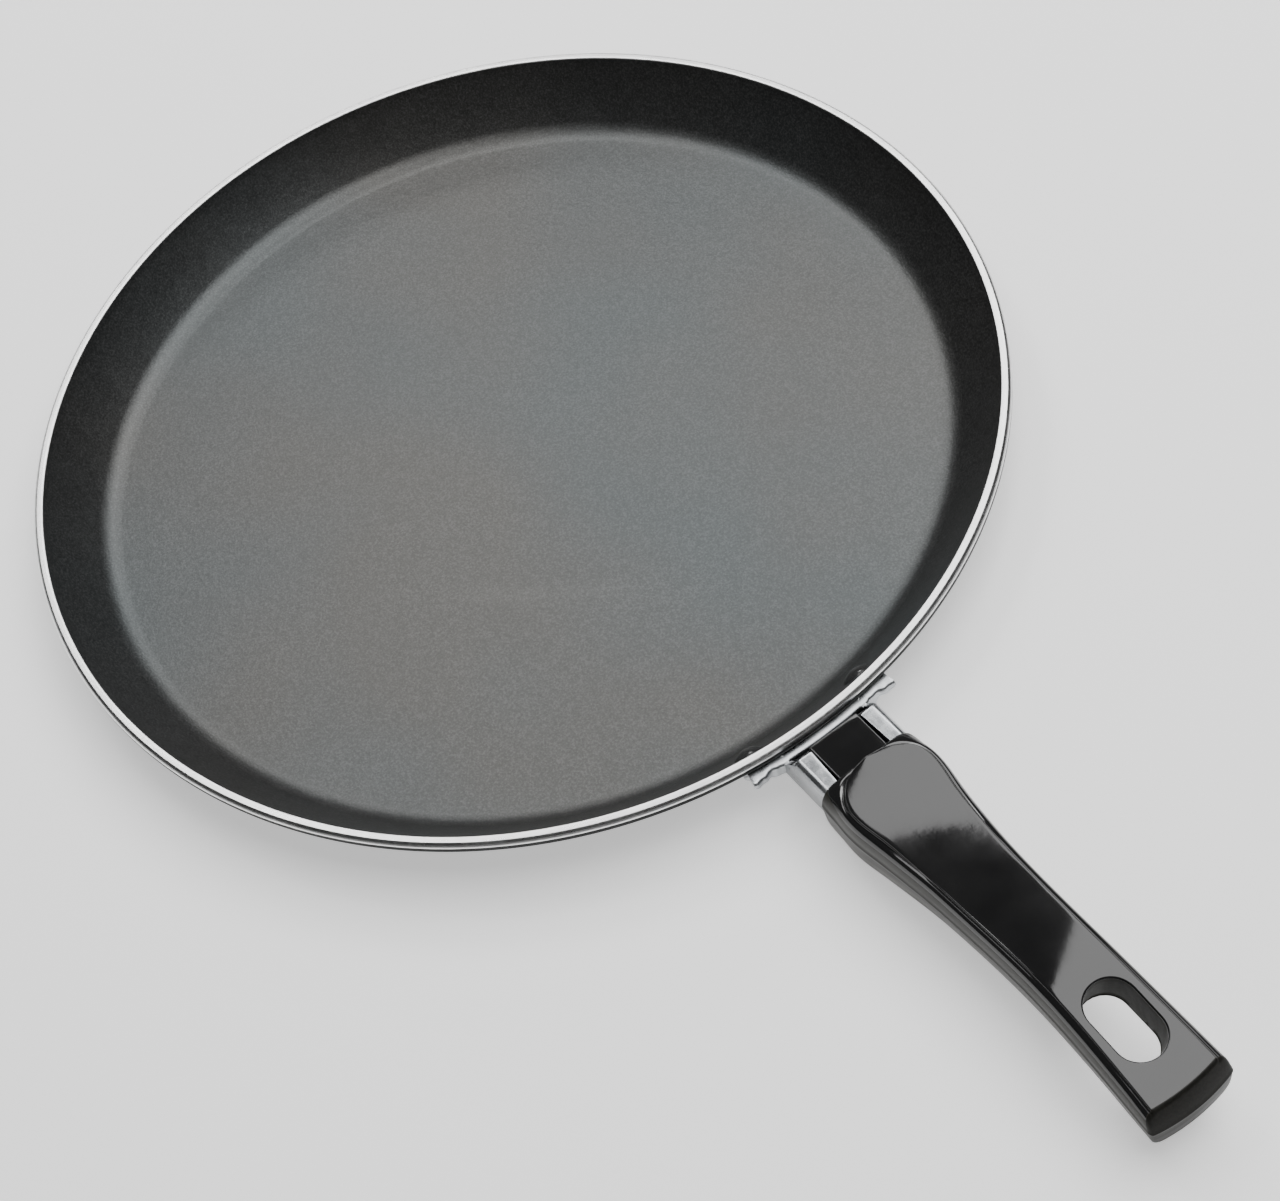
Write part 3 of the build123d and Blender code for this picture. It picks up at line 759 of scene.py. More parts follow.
def section(x):
    """Closed cross-section at x, as (y, z, flank) from bottom middle, up the
    +Y side, over the top and down the -Y side."""
    zt = f_land(x)
    zb = f_zb(x)
    a = land_half(x)
    b = body_half(x)
    h = zt - zb
    # the land stands proud at the front and melts into the body further back
    step = 0.85 * (1 - smooth01((x - 164.0) / 22.0))
    lip = 0.34
    pts = []
    # bottom, from the middle out
    wb = b - 3.0
    for t in (0.0, 0.25, 0.5, 0.75, 1.0):
        pts.append((wb * t, zb, 1.0))
    # rounded lower corner, radius about 2.4, then the nearly upright flank
    rc = 2.4
    yc, zc = b - 0.55 - rc, zb + rc
    for i in range(1, 8):
        t = math.radians(-90 + 84 * i / 7)
        pts.append((yc + rc * math.cos(t), zc + rc * math.sin(t), 1.0))
    y0, z0 = pts[-1][0], pts[-1][1]
    zmid = zt - 0.44 * h
    for i in range(1, 7):
        t = i / 6.0
        if i == 6:
            # raised parting line of the mould at the widest line
            pts.append((b - 0.01, zmid - 0.24, 1.0))
            pts.append((b + 0.13, zmid - 0.03, 1.0))
            pts.append((b + 0.13, zmid + 0.03, 1.0))
        else:
            pts.append((y0 + (b - y0) * math.sin(t * math.pi / 2),
                        z0 + (zmid - z0) * t, 1.0))
    # shoulder from the widest line up to the foot of the land step
    foot_y = a + 0.10 + 0.45 * (step / 0.85)
    foot_z = zt - step - 0.42
    n = 12
    pts.append((b - 0.03, zmid + 0.24, 1.0))
    for i in range(2, n + 1):
        t = i / n
        ang = t * math.pi / 2
        e = 0.80
        yy = foot_y + (b - foot_y) * (math.cos(ang) ** e)
        zz = zmid + (foot_z - zmid) * (math.sin(ang) ** 0.95)
        pts.append((yy, zz, 1.0 - smooth01((t - 0.42) / 0.16)))
    # small valley and upright step, then the rounded lip on to the land
    if step > 0.02:
        k = step / 0.85
    else:
        k = 0.0
    pts.append((a + 0.10 + 0.20 * k, foot_z + 0.02, 0.0))
    pts.append((a + 0.07, foot_z + 0.12 + 0.30 * step, 0.0))
    for i in range(0, 6):
        t = math.radians(8 + 82 * i / 5)
        pts.append((a - lip + lip * math.cos(t), zt - lip + lip * math.sin(t),
                    0.0))
    # crowned land
    inner = a - lip
    for t in (0.93, 0.84, 0.72, 0.58, 0.44, 0.29, 0.145, 0.0):
        pts.append((inner * t, zt + crown(x) * (1 - t * t), 0.0))
    full = pts + [(-y, z, f) for y, z, f in reversed(pts[1:-1])]
    return full


def end_x(x0, y, z):
    """Rear end face: bowed in plan, bulging below the land."""
    yn = min(1.0, abs(y) / body_half(x0))
    zt, zb = f_land(x0), f_zb(x0)
    drop = max(0.0, min(1.0, (zt - z) / (zt - zb)))
    # sloping upper band, the parting line, then a slightly undercut lower band
    if drop < 0.447:
        lean = 2.75 * (1 - (1 - drop / 0.447) ** 1.25)
    else:
        lean = 2.75 - 0.60 * ((drop - 0.447) / 0.553) ** 1.1
    lean += 0.14 * max(0.0, 1 - abs(drop - 0.447) / 0.024)
    cr = max(0.0, min(1.0, (yn - 0.90) / 0.10))
    rnd = 0.45 * (1 - math.sqrt(max(0.0, 1 - cr * cr)))
    return END_MID - (END_MID - END_COR) * yn ** 2 + lean - rnd


def top_z(x, y):
    a = land_half(x) - 0.34
    t = min(1.0, abs(y) / max(a, 0.1))
    return f_land(x) + crown(x) * (1 - t * t)


END_R = 0.7                          # edge rounding of the rear end face


def build_handle():
    xs = []
    x = LAND_TIP + 0.04
    while x < 150.0:
        xs.append(x)
        x += 0.12 + (x - LAND_TIP) * 0.14
    x = 150.0
    while x < 257.0:
        xs.append(x)
        x += 0.75
    sx0, sx1 = 222.0, 252.0      # patch around the slot, snapped to stations
    i0 = min(range(len(xs)), key=lambda i: abs(xs[i] - sx0))
    i1 = min(range(len(xs)), key=lambda i: abs(xs[i] - sx1))
    verts, flank = [], []
    rings = []
    m = len(section(200.0))
    # index of the land and bottom points
    half = m // 2
    top_mid = half                      # point with y = 0 on the land
    L = 7                               # land points either side of the middle
    B = 4                               # bottom points either side
    for x in xs:
        sec = section(x)
        row = []
        for k, (y, z, f) in enumerate(sec):
            xx = x
            if x > 249.0:
                # the last stations bend to the bowed rear end face
                span = (x - 249.0) / (xs[-1] - 249.0)
                xx = 249.0 + (end_x(x, y, z) - END_R - 249.0) * span
            elif x < 152.0:
                # below the land the front face leans toward the pan
                zt, zb = f_land(x), f_zb(x)
                drop = (zt - z) / (zt - zb)
                xx = x - 1.1 * smooth01((drop - 0.03) / 0.15) * (
                    1 - smooth01((x - LAND_TIP) / 4.0))
            row.append(len(verts))
            verts.append((xx, y, z))
            flank.append(f)
        rings.append(row)
    faces = []

    def quad(a, b, c, d):
        faces.append((a, b, c, d))

    n = len(rings)
    for i in range(n - 1):
        for k in range(m):
            k2 = (k + 1) % m
            top_cell = top_mid - L <= k < top_mid + L
            bot_cell = k >= m - B or k < B
            if i0 <= i < i1 and (top_cell or bot_cell):
                continue
            quad(rings[i][k], rings[i][k2], rings[i + 1][k2], rings[i + 1][k])

    # ---- slot patch: rings from the patch border to the slot edge ----
    tilt = math.tan(math.radians(13.0))
    sc, sl, sr = (226.3 + 247.3) / 2, (247.3 - 226.3) / 2, 6.2

    def border(upper):
        """Border vertices of the patch, in order round the patch."""
        if upper:
            lo, hi = top_mid - L, top_mid + L
            ks = list(range(lo, hi + 1))
        else:
            ks = [(m - B + q) % m for q in range(2 * B + 1)]
        loop = [rings[i0][k] for k in ks]
        loop += [rings[i][ks[-1]] for i in range(i0 + 1, i1)]
        loop += [rings[i1][k] for k in reversed(ks)]
        loop += [rings[i][ks[0]] for i in range(i1 - 1, i0, -1)]
        return loop

    def obround(ang, grow, cx):
        """Point of the slot outline in direction ang from its centre."""
        r = sr + grow
        s = sl - sr
        dx, dy = math.cos(ang), math.sin(ang)
        # ray against the obround
        if abs(dy) > 1e-9:
            t = r / abs(dy)
            if abs(t * dx) <= s:
                return cx + t * dx, t * dy
        sg = 1 if dx > 0 else -1
        bq = -dx * sg * s
        disc = max(0.0, bq * bq - (s * s - r * r))
        t = -bq + math.sqrt(disc)
        return cx + t * dx, t * dy

    def patch(upper):
        loop = border(upper)
        zt0 = 23.2
        pts = [verts[v] for v in loop]
        cx = sc if upper else sc - (zt0 - f_zb(sc)) * tilt
        angs = [math.atan2(p[1], p[0] - cx) for p in pts]
        fil = 0.55
        prev = loop
        ring_defs = [("flat", 2.6), ("flat", 1.7), ("flat", 1.15)]
        for q in range(0, 7):
            ring_defs.append(("fil", q / 6.0))
        for kind, val in ring_defs:
            cur = []
            for j, ang in enumerate(angs):
                if kind == "flat":
                    ex, ey = obround(ang, val, cx)
                    # keep inside the patch border
                    bx, by = pts[j][0], pts[j][1]
                    db = math.hypot(bx - cx, by)
                    de = math.hypot(ex - cx, ey)
                    e0x, e0y = obround(ang, fil, cx)
                    d0 = math.hypot(e0x - cx, e0y)
                    t = (val - fil) / 3.6
                    dd = d0 + (db - d0) * min(0.92, t)
                    px, py = cx + dd * math.cos(ang), dd * math.sin(ang)
                    z = top_z(px, py) if upper else f_zb(px)
                else:
                    u = math.radians(90 * val)
                    px, py = obround(ang, fil * (1 - math.sin(u)), cx)
                    dz = fil * (1 - math.cos(u))
                    z = (top_z(px, py) - dz) if upper else (f_zb(px) + dz)
                    px -= 0 if not upper else dz * tilt * 0
                cur.append(len(verts))
                verts.append((px, py, z))
                flank.append(0.0 if upper else 1.0)
            c = len(cur)
            for j in range(c):
                j2 = (j + 1) % c
                quad(prev[j], prev[j2], cur[j2], cur[j])
            prev = cur
        return prev, angs

    up_ring, up_ang = patch(True)
    lo_ring, lo_ang = patch(False)
    # resample the lower outline to the upper one's directions
    wall_n = 5
    prev = up_ring
    cx_lo = sc - (23.2 - f_zb(sc)) * tilt
    for q in range(1, wall_n + 1):
        cur = []
        for j, ang in enumerate(up_ang):
            x1, y1, z1 = verts[up_ring[j]]
            x2, y2 = obround(ang, 0.0, cx_lo)
            z2 = f_zb(x2) + 0.55
            t = q / wall_n
            cur.append(len(verts))
            verts.append((x1 + (x2 - x1) * t, y1 + (y2 - y1) * t,
                          z1 + (z2 - z1) * t))
            flank.append(9.0)
        c = len(cur)
        for j in range(c):
            j2 = (j + 1) % c
            quad(prev[j], prev[j2], cur[j2], cur[j])
        prev = cur
    # close between the two lower outlines, matched by direction
    la = [a % (2 * math.pi) for a in lo_ang]
    ua = [a % (2 * math.pi) for a in up_ang]
    lo_sorted = sorted(range(len(la)), key=lambda q: la[q])
    up_sorted = sorted(range(len(ua)), key=lambda q: ua[q])
    i = j = 0
    nl, nu = len(lo_sorted), len(up_sorted)
    while i < nl or j < nu:
        l_i, u_j = lo_sorted[i % nl], up_sorted[j % nu]
        nla = la[lo_sorted[(i + 1) % nl]] + (2 * math.pi if i + 1 >= nl else 0)
        nua = ua[up_sorted[(j + 1) % nu]] + (2 * math.pi if j + 1 >= nu else 0)
        if j >= nu or (i < nl and nla <= nua):
            faces.append((lo_ring[l_i], lo_ring[lo_sorted[(i + 1) % nl]],
                          prev[u_j]))
            i += 1
        else:
            faces.append((lo_ring[l_i], prev[up_sorted[(j + 1) % nu]],
                          prev[u_j]))
            j += 1

    # ---- rear end face: rounded edge then an inset cap ----
    def cap(ring, direction, insets):
        cur = ring
        cen = [sum(verts[v][q] for v in ring) / len(ring) for q in range(3)]
        for shrink, push in insets:
            nxt = []
            for v in ring:
                x, y, z = verts[v]
                nxt.append(len(verts))
                verts.append((x + push * direction, y * shrink +
                              cen[1] * (1 - shrink),
                              z * shrink + cen[2] * (1 - shrink)))
                flank.append(0.0)
            for q in range(len(ring)):
                q2 = (q + 1) % len(ring)
                quad(cur[q], cur[q2], nxt[q2], nxt[q])
            cur = nxt
        # fill: strip across, pairing the +Y and -Y halves
        mm = len(cur)
        for q in range(0, mm // 2):
            a1, a2 = cur[q], cur[q + 1]
            b1, b2 = cur[(mm - q) % mm], cur[(mm - q - 1) % mm]
            if a1 == b1:
                faces.append((a1, a2, b2))
            elif a2 == b2:
                faces.append((a1, a2, b1))
            else:
                quad(a1, a2, b2, b1)

    def end_cap(ring):
        cur = ring
        cz = 0.5 * (f_land(257.0) + f_zb(257.0))
        size = 6.0
        steps = []
        for q in range(1, 7):
            ph = math.radians(15 * q)
            steps.append((END_R * (1 - math.cos(ph)), END_R * (1 - math.sin(ph))))
        x0 = xs[-1]
        for inset, back in steps:
            k = 1 - inset / size
            nxt = []
            for v in ring:
                _, y, z = verts[v]
                y2 = math.copysign(max(0.0, abs(y) - inset * min(
                    1.0, abs(y) / 6.0)), y)
                z2 = cz + (z - cz) * k
                nxt.append(len(verts))
                verts.append((end_x(x0, y2, z2) - back, y2, z2))
                flank.append(1.9)
            for q in range(len(ring)):
                q2 = (q + 1) % len(ring)
                quad(cur[q], cur[q2], nxt[q2], nxt[q])
            cur = nxt
        # rows straight across, from the bottom edge up to the land edge
        mm = len(cur)

        def stitch(ra, rb):
            """Triangles between two rows, walked in order of y."""
            i, j = 0, 0
            while i < len(ra) - 1 or j < len(rb) - 1:
                ya = verts[ra[i + 1]][1] if i < len(ra) - 1 else 1e9
                yb = verts[rb[j + 1]][1] if j < len(rb) - 1 else 1e9
                if ya <= yb:
                    faces.append((ra[i], ra[i + 1], rb[j]))
                    i += 1
                else:
                    faces.append((ra[i], rb[j + 1], rb[j]))
                    j += 1

        bottom = [cur[(mm - q) % mm] for q in range(B, 0, -1)]
        bottom += [cur[q] for q in range(0, B + 1)]
        top_lo = top_mid - L - 1
        top = [cur[mm - q] for q in range(top_lo, top_mid)]
        top += [cur[q] for q in range(top_mid, top_lo - 1, -1)]
        prev_row = bottom
        for q in range(B + 1, top_lo):
            p1, p2 = verts[cur[mm - q]], verts[cur[q]]
            row = [cur[mm - q]]
            for w in range(1, 16):
                y = p1[1] + (p2[1] - p1[1]) * w / 16.0
                row.append(len(verts))
                verts.append((end_x(x0, y, p1[2]), y, p1[2]))
                flank.append(1.9)
            row.append(cur[q])
            stitch(prev_row, row)
            prev_row = row
        stitch(prev_row, top)

    end_cap(rings[-1])
    cap(rings[0], -1, [(0.988, 0.10), (0.97, 0.22), (0.94, 0.32), (0.88, 0.40),
                       (0.78, 0.44)])
    mids = []
    for f in faces:
        k = sum(flank[v] for v in f) / len(f)
        if k > 2.3:
            mids.append(2)
        elif k > 1.2:
            mids.append(3)
        else:
            mids.append(1 if k > 0.5 else 0)
    o = mesh_object("handle_grip", verts, faces,
                    [PHENOLIC, PHENOLIC_SATIN, PHENOLIC_MATT, PHENOLIC_END],
                    mids)
    # consistent normals
    import bmesh
    bm = bmesh.new()
    bm.from_mesh(o.data)
    bmesh.ops.remove_doubles(bm, verts=bm.verts, dist=1e-6)
    bmesh.ops.recalc_face_normals(bm, faces=bm.faces)
    bm.to_mesh(o.data)
    bm.free()
    return o


grip = build_handle()


def rounded_prism(name, outline, x0, x1, mats, edge=0.5, mat_ids=None):
    """Prism along X from a closed (y, z) outline, with softened ends."""
    cy = sum(p[0] for p in outline) / len(outline)
    cz = sum(p[1] for p in outline) / len(outline)
    hy = max(abs(p[0] - cy) for p in outline)
    hz = max(abs(p[1] - cz) for p in outline)
    rows = []
    steps = [(x0, edge), (x0 + edge * 0.13, edge * 0.5),
             (x0 + edge * 0.5, edge * 0.13), (x0 + edge, 0)]
    nx = max(2, int((x1 - x0) / 1.0))
    steps += [(x0 + edge + (x1 - x0 - edge) * i / nx, 0) for i in range(1, nx + 1)]
    verts, faces = [], []
    for x, ins in steps:
        row = []
        for y, z in outline:
            row.append(len(verts))
            verts.append((x, cy + (y - cy) * (1 - ins / hy),
                          cz + (z - cz) * (1 - ins / hz)))
        rows.append(row)
    m = len(outline)
    for i in range(len(rows) - 1):
        for k in range(m):
            k2 = (k + 1) % m
            faces.append((rows[i][k], rows[i][k2], rows[i + 1][k2],
                          rows[i + 1][k]))
    faces.append(tuple(reversed(rows[0])))
    faces.append(tuple(rows[-1]))
    o = mesh_object(name, verts, faces, mats)
    import bmesh
    bm = bmesh.new()
    bm.from_mesh(o.data)
    bmesh.ops.recalc_face_normals(bm, faces=bm.faces)
    bm.to_mesh(o.data)
    bm.free()
    return o


def corner(cy, cz, r, a0, a1, n=6):
    return [(cy + r * math.cos(math.radians(a0 + (a1 - a0) * i / n)),
             cz + r * math.sin(math.radians(a0 + (a1 - a0) * i / n)))
            for i in range(n + 1)]


CH_HALF, CH_LOW, CH_TOP, CH_T, CH_R = 12.6, 8.4, 21.5, 1.5, 3.0
nose_h = CH_HALF - CH_T - 0.15
rib = 7.25
nose_out = []
nose_out += corner(nose_h - 1.5, CH_LOW + CH_T + 1.55, 1.5, -90, 0)
nose_out += corner(nose_h - 1.2, CH_TOP - CH_T - 1.4, 1.2, 0, 90)
nose_out += [(rib + 0.25, CH_TOP - CH_T - 0.2), (rib, CH_TOP - CH_T + 0.1)]
nose_out += corner(rib - 0.45, CH_TOP - 0.86, 0.45, 0, 90)
nose_out += [(rib * 0.6, CH_TOP - 0.40), (rib * 0.3, CH_TOP - 0.37), (0, CH_TOP - 0.36)]
nose_out += [(-y, z) for y, z in reversed(nose_out[:-1])]
nose = rounded_prism("handle_tongue", nose_out, 134.7, 152.0, [PHENOLIC], 0.35)
for o in (grip, nose):
    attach(o, "root")
    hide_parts("handle")


# ---------------------------------------------------------------------------
# Bracket: a swept sheet section for the channel, wings and tab
# ---------------------------------------------------------------------------
def sheet_strip(name, rows, thick, mats, edge_r=0.25):
    """Sheet from a grid of (point, normal): front and back faces and rims.
    rows[i][j] = (Vector point on the outer face, Vector unit outward normal)."""
    verts, faces = [], []
    ni, nj = len(rows), len(rows[0])
    outer, inner = [], []
    for r in rows:
        outer.append([])
        for p, n in r:
            outer[-1].append(len(verts))
            verts.append(tuple(p))
    for r in rows:
        inner.append([])
        for p, n in r:
            inner[-1].append(len(verts))
            verts.append(tuple(p - n * thick))
    for i in range(ni - 1):
        for j in range(nj - 1):
            faces.append((outer[i][j], outer[i][j + 1], outer[i + 1][j + 1],
                          outer[i + 1][j]))
            faces.append((inner[i][j], inner[i + 1][j], inner[i + 1][j + 1],
                          inner[i][j + 1]))
    for i in range(ni - 1):
        faces.append((outer[i][0], outer[i + 1][0], inner[i + 1][0], inner[i][0]))
        faces.append((outer[i][-1], inner[i][-1], inner[i + 1][-1],
                      outer[i + 1][-1]))
    for j in range(nj - 1):
        faces.append((outer[0][j], inner[0][j], inner[0][j + 1], outer[0][j + 1]))
        faces.append((outer[-1][j], outer[-1][j + 1], inner[-1][j + 1],
                      inner[-1][j]))
    o = mesh_object(name, verts, faces, mats)
    import bmesh
    bm = bmesh.new()
    bm.from_mesh(o.data)
    bmesh.ops.recalc_face_normals(bm, faces=bm.faces)
    bm.to_mesh(o.data)
    bm.free()
    bv = o.modifiers.new("edge", "BEVEL")
    bv.width = edge_r * MM
    bv.segments = 3
    bv.limit_method = "ANGLE"
    bv.angle_limit = math.radians(50)
    bv.harden_normals = False
    return o


def channel_section(x):
    """Outer face points (y, z, ny, nz) from the +Y flange edge round to -Y."""
    # flanges part slightly toward the handle
    lip = 7.5 + (x - 136.0) * 0.05
    r = CH_R
    rt = 1.9
    out = []
    top = CH_TOP
    side = CH_HALF
    out += [(lip + (side - rt - lip) * t, top, 0.0, 1.0)
            for t in (0.0, 0.25, 0.5, 0.75, 1.0)]
    for i in range(1, 9):
        a = math.radians(90 - 90 * i / 8)
        out.append((side - rt + rt * math.cos(a), top - rt + rt * math.sin(a),
                    math.cos(a), math.sin(a)))
    for t in (0.2, 0.4, 0.6, 0.8, 1.0):
        z = (top - rt) + ((CH_LOW + r) - (top - rt)) * t
        out.append((side, z, 1.0, 0.0))
    for i in range(1, 9):
        a = math.radians(-90 * i / 8)
        out.append((side - r + r * math.cos(a), CH_LOW + r + r * math.sin(a),
                    math.cos(a), math.sin(a)))
    out += [((side - r) * t, CH_LOW, 0.0, -1.0) for t in (0.75, 0.5, 0.25, 0.0)]
    return out + [(-y, z, -ny, nz) for y, z, ny, nz in reversed(out[:-1])]


def build_channel():
    rows = []
    x_end = 150.9
    n = 26
    m = len(channel_section(140))
    for i in range(n + 1):
        t = i / n
        row = []
        sec = channel_section(136.0 + 15 * t)
        for y, z, ny, nz in sec:
            # front edge: the web meets the wall, the cheeks slope up and the
            # flanges start further back
            wall_x = math.sqrt(max(0.0, (outer_r(max(z, 6.4)) + 0.15) ** 2 -
                                   y * y))
            if z > 15.0:
                k = smooth01((z - 15.0) / (CH_TOP - 15.0))
                front = wall_x * 0 + 131.4 + (135.8 - 131.4) * k
                if z > 20.2:
                    front = 135.9 + 0.5 * (1 - abs(y) / CH_HALF)
            else:
                front = max(wall_x, 128.6 if abs(y) > 11.5 else wall_x)
                if abs(y) > 11.0:
                    front = wall_x + (131.4 - wall_x) * smooth01((z - 9.2) / 5.8)
            # sheet thickness must clear the wall too
            front = max(front, math.sqrt(max(0.0, (outer_r(z) + 0.2) ** 2 - y * y)))
            if nz < -0.4:
                front = math.sqrt(max(0.0, (outer_r(z + 1.5) + 0.2) ** 2 - y * y))
            x = front + (x_end - front) * t
            row.append((Vector((x, y, z)), Vector((0, ny, nz))))
        rows.append(row)
    return sheet_strip("bracket_channel", rows, CH_T, [STEEL_CHANNEL])


def build_wing(side):
    """From the cheek, round the bend and out along the wall."""
    o, nrm, up, w = rivet_frame(side)
    rows = []
    zs_n = 12
    for i in range(zs_n + 1):
        t = i / zs_n
        # distance up the wall, measured from the rivet
        s_lo, s_hi = -5.0, 5.9
        s = s_lo + (s_hi - s_lo) * t
        row = []
        # wing: from the outer end toward the cheek, following the cone
        pts = []
        z_here = RIVET_Z + s * SA - CA * (SHEET + 0.05)
        for q in range(0, 19):
            y = 20.9 - (20.9 - 14.0) * q / 18
            # round the wing's outer corners
            over = max(0.0, y - 18.7) / 2.2
            lim = 1 - 0.42 * (1 - math.sqrt(max(0.0, 1 - over * over)))
            ss = (s - (s_lo + s_hi) / 2) * lim + (s_lo + s_hi) / 2
            zc = RIVET_Z + ss * SA - CA * (SHEET + 0.05 + CH_T)
            rr = outer_r(zc + CA * CH_T) + 0.06 + SA * CH_T
            xx = math.sqrt(rr * rr - y * y)
            a = math.atan2(y, xx)
            n3 = Vector((SA * math.cos(a), SA * math.sin(a), -CA))
            pts.append((Vector((xx, y, zc)), n3))
        p_end, n_end = pts[-1]
        # bend from the wall direction to the cheek direction
        cheek = Vector((p_end.x + 2.4, CH_HALF, p_end.z))
        for q in range(1, 11):
            u = q / 10
            b0 = p_end
            tang = (pts[-1][0] - pts[-2][0]).normalized() if q == 1 else tang
            c1 = b0 + tang * 1.15
            c2 = cheek + Vector((-1.3, 0, 0))
            p = (b0 * (1 - u) ** 3 + c1 * 3 * u * (1 - u) ** 2 +
                 c2 * 3 * u * u * (1 - u) + cheek * u ** 3)
            n3 = (n_end * (1 - u) + Vector((0, 1, 0)) * u).normalized()
            row.append((p, n3))
        row = pts + row
        last = row[-1][0]
        row.append((Vector((last.x + 1.2, CH_HALF, last.z)), Vector((0, 1, 0))))
        rows.append([(Vector((p.x, p.y * side, p.z)),
                      Vector((n.x, n.y * side, n.z))) for p, n in row])
    return sheet_strip("bracket_wing_left" if side > 0 else
                       "bracket_wing_right", rows, CH_T, [STEEL])


def build_tab():
    """Tab bent up from the web, lying on the wall between the cheeks."""
    rows = []
    top = 15.1
    nj = 24
    for i in range(0, 15):
        t = i / 14
        z = 8.5 + (top - 8.5) * t
        row = []
        for j in range(nj + 1):
            y = -11.2 + 22.4 * j / nj
            # rounded top corners
            over = max(0.0, abs(y) - 9.4) / 1.8
            zz = 8.5 + (z - 8.5) * (1 - 0.16 * (1 - math.sqrt(
                max(0.0, 1 - over * over))))
            rr = outer_r(zz + CA * CH_T) + 0.06 + SA * CH_T
            xx = math.sqrt(rr * rr - y * y)
            a = math.atan2(y, xx)
            row.append((Vector((xx, y, zz)),
                        Vector((SA * math.cos(a), SA * math.sin(a), -CA))))
        rows.append(row)
    return sheet_strip("bracket_tab", rows, CH_T, [STEEL])


def build_lip():
    """Stiffening lip: turned out under the rim bead, then down again."""
    rows = []
    n = 96
    az_end = 9.3
    for i in range(n + 1):
        a = math.radians(-az_end + 2 * az_end * i / n)
        ya = abs(131.5 * math.sin(a))
        # drawn in beside the cheeks, flared at the two ends, with press waves
        shift = (0.75 * smooth01((ya - 16.5) / 4.2)
                 - 0.55 * math.exp(-((ya - 15.3) / 1.7) ** 2))
        if ya > 13.5:
            shift += 0.16 * math.sin(2.1 * ya + (1.0 if a > 0 else 2.2))
        if ya < 11.0:
            shift -= 0.35
        over = min(1.0, max(0.0, ya - 19.3) / 1.95)
        low = (11.7 + 1.3 * smooth01((ya - 15.4) / 1.6)
               + 0.9 * (1 - math.sqrt(1 - over * over)))
        # the top of the lip falls outward by about seven degrees
        path = [(127.75, 15.60, 0.12, 0.993), (128.9, 15.46, 0.12, 0.993),
                (129.9, 15.34, 0.12, 0.993), (130.75, 15.24, 0.12, 0.993)]
        for q in range(1, 8):
            u = math.radians(83 - 83 * q / 7)
            path.append((130.62 + 1.15 * math.cos(u), 14.10 + 1.15 * math.sin(u),
                         math.cos(u), math.sin(u)))
        for t in (0.2, 0.45, 0.7, 1.0):
            path.append((131.77, 14.1 + (low - 14.1) * t, 1.0, 0.0))
        c, sn = math.cos(a), math.sin(a)
        row = []
        for r, z, nr, nz in path:
            rr = r + shift * min(1.0, (r - 127.75) / 3.2)
            row.append((Vector((rr * c, rr * sn, z)),
                        Vector((nr * c, nr * sn, nz))))
        rows.append(row)
    return sheet_strip("bracket_lip", rows, 1.3, [STEEL], 0.3)


pieces = [build_channel(), build_wing(1), build_wing(-1), build_tab(),
          build_lip()]
for o in pieces:
    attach(o, "root")
    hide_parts("handle_bracket")

# ---------------------------------------------------------------------------
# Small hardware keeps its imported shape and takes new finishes
# ---------------------------------------------------------------------------
for nm, mat in (("handle_screw", ZINC), ("lock_washer", ZINC),
                ("threaded_insert", BRASS)):
    o = nodes[nm]
    o.data.materials.clear()
    o.data.materials.append(mat)

# ---------------------------------------------------------------------------
# Stage: pale floor, soft light, camera
# ---------------------------------------------------------------------------
bpy.ops.mesh.primitive_plane_add(size=60.0, location=(0, 0, -0.0002))
floor = bpy.context.object
floor.name = "stage_floor"
fm, fnt, fb = new_mat("stage_paper")
fb.inputs["Base Color"].default_value = (0.90, 0.90, 0.90, 1)
fb.inputs["Roughness"].default_value = 0.9
fb.inputs["Specular IOR Level"].default_value = 0.1
# a softly lit table top, as under a cut-out product picture
fb.inputs["Emission Color"].default_value = (1, 1, 1, 1)
fb.inputs["Emission Strength"].default_value = 0.65
floor.data.materials.append(fm)

# pale wall far behind the table, for views from low down; the lights and the
# object's reflections keep the open room
bpy.ops.mesh.primitive_cylinder_add(vertices=128, radius=29.0, depth=24.0,
                                    end_fill_type="NOTHING",
                                    location=(0, 0, 11.99))
wall = bpy.context.object
wall.name = "stage_wall"
wm, wnt, wb = new_mat("stage_wall_paint")
wb.inputs["Base Color"].default_value = (0.02, 0.02, 0.02, 1)
wb.inputs["Roughness"].default_value = 0.9
wb.inputs["Specular IOR Level"].default_value = 0.0
wb.inputs["Emission Color"].default_value = (1, 1, 1, 1)
wb.inputs["Emission Strength"].default_value = 0.74
wall.data.materials.append(wm)
wall.visible_diffuse = False
wall.visible_glossy = False
wall.visible_shadow = False

world = bpy.data.worlds.new("soft_room")
bpy.context.scene.world = world
world.use_nodes = True
wn = world.node_tree
bg = wn.nodes["Background"]
bg.inputs["Color"].default_value = (1, 1, 1, 1)
bg.inputs["Strength"].default_value = 0.10


def area(name, az, el, dist, sx, sy, power, aim=(0.08, 0, 0.01)):
    """Soft box at azimuth az and elevation el from the aim point."""
    ld = bpy.data.lights.new(name, "AREA")
    ld.shape = "RECTANGLE"
    ld.size, ld.size_y = sx, sy
    ld.energy = power
    lo = bpy.data.objects.new(name, ld)
    a, e = math.radians(az), math.radians(el)
    d = Vector((math.cos(e) * math.cos(a), math.cos(e) * math.sin(a),
                math.sin(e)))
    lo.location = Vector(aim) + d * dist
    lo.rotation_euler = d.to_track_quat("Z", "Y").to_euler()
    bpy.context.scene.collection.objects.link(lo)
    return lo


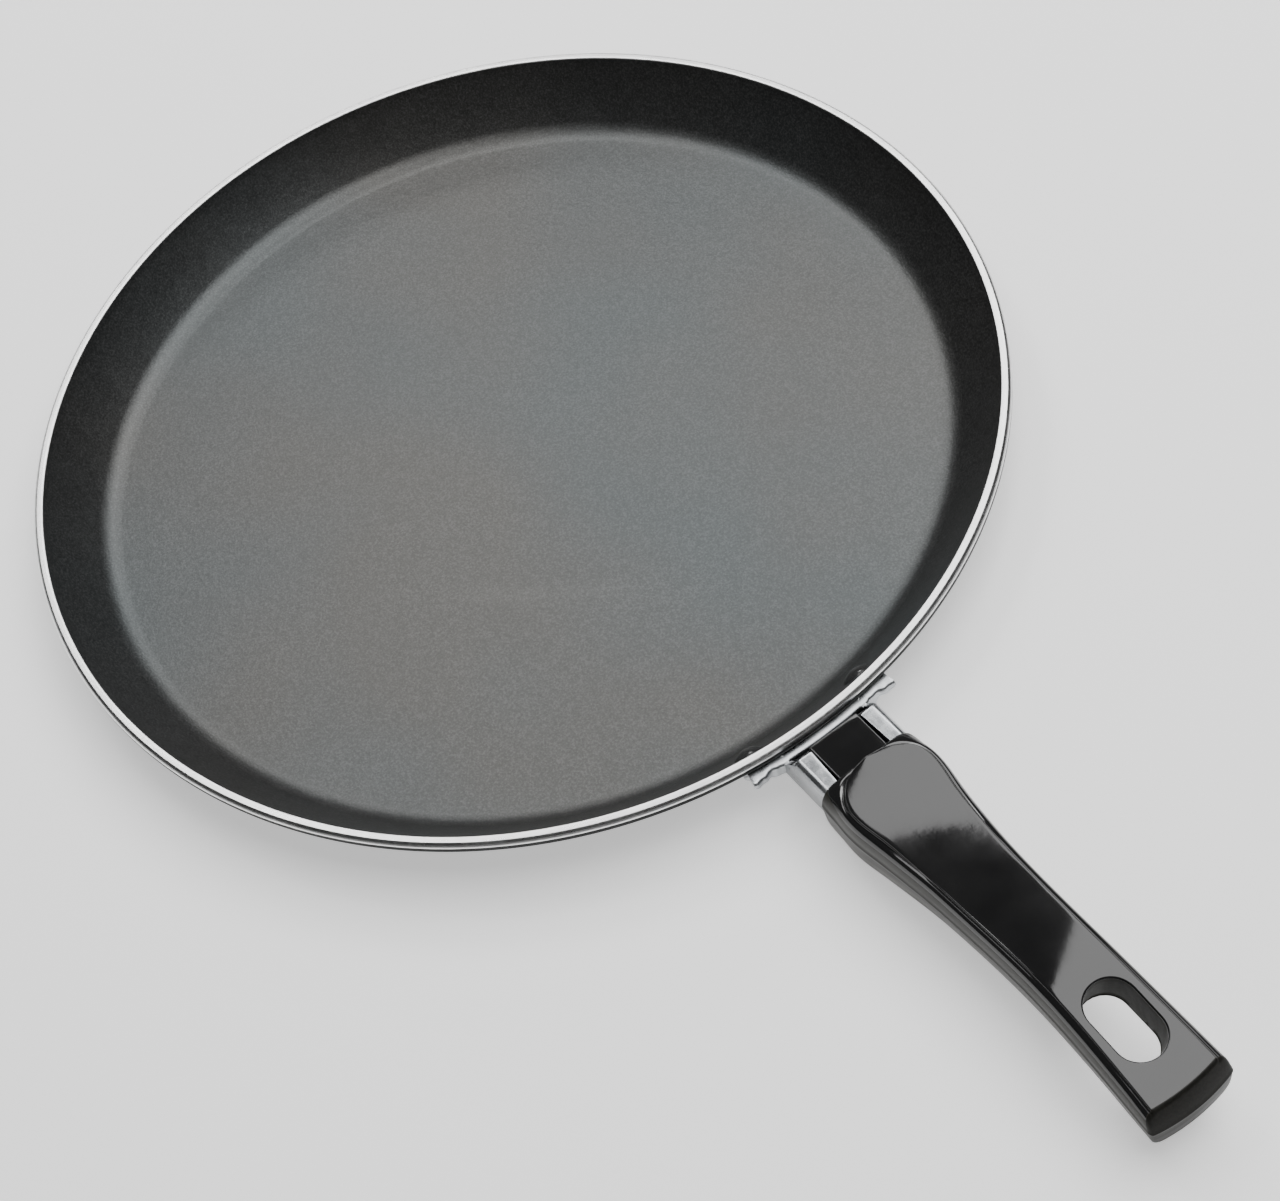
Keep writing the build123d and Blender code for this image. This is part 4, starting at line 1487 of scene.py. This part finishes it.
def ceiling(name, cx, cy, h, turn, sx, sy, radiance):
    """Flat soft box facing down; turn is the azimuth of its local X side."""
    ld = bpy.data.lights.new(name, "AREA")
    ld.shape = "RECTANGLE"
    ld.size, ld.size_y = sx, sy
    ld.energy = radiance * math.pi * sx * sy
    lo = bpy.data.objects.new(name, ld)
    lo.location = (cx, cy, h)
    lo.rotation_euler = (0, 0, math.radians(turn))
    bpy.context.scene.collection.objects.link(lo)
    return lo


# the near edge of the key passes almost over the pan's middle, so the level
# part of the handle sees dark room and its sloping parts see the soft box
EDGE = Vector((-0.366, 0.357))
INWARD = Vector((0.782, 0.623))
mid = EDGE + INWARD * 0.60
ceiling("key_soft", mid.x, mid.y, 1.40, math.degrees(math.atan2(
    INWARD.y, INWARD.x)), 1.20, 1.9, 3.8)
# card behind the pan at the angle that the floor mirrors; seen from the
# handle it stays below the direction that the level land mirrors
area("card_back", 150, 50, 1.10, 0.90, 0.25, 5.3 * math.pi * 0.225,
     (0.0, 0.0, 0.01))

# small overhead box on the -Y side: far fillet of the pan and the land's edge
ceiling("strip_side", -0.58, -0.30, 1.40, 0.0, 0.26, 0.40, 3.6)
# small box that the far fillet of the pan mirrors; the land sees past it
ceiling("ring_box", -0.74, -0.04, 1.40, 0.0, 0.30, 0.28, 11.0)

# low card across the pan, which the rivet heads and the near fillet mirror
area("low_card", 163, 24, 1.10, 0.17, 0.11, 10.0 * math.pi * 0.0187,
     (0.12, 0.0, 0.012))

ROWS = ((0.58627551, 0.79035664, -0.17781285),
        (0.59764822, -0.57014574, -0.56369357),
        (-0.54689819, 0.2242102, -0.80661772))
right, down, fwd = (Vector(r) for r in ROWS)
cam_loc = Vector((0.47546405, -0.17640529, 0.61483823))
cd = bpy.data.cameras.new("match_camera")
cd.sensor_width = 36.0
cd.sensor_fit = "HORIZONTAL"
cd.lens = 84.375
cd.clip_start = 0.01
cd.clip_end = 50.0
cam = bpy.data.objects.new("match_camera", cd)
mw = Matrix.Identity(4)
for i in range(3):
    mw[i][0], mw[i][1], mw[i][2] = right[i], -down[i], -fwd[i]
    mw[i][3] = cam_loc[i]
cam.matrix_world = mw
bpy.context.scene.collection.objects.link(cam)
bpy.context.scene.camera = cam
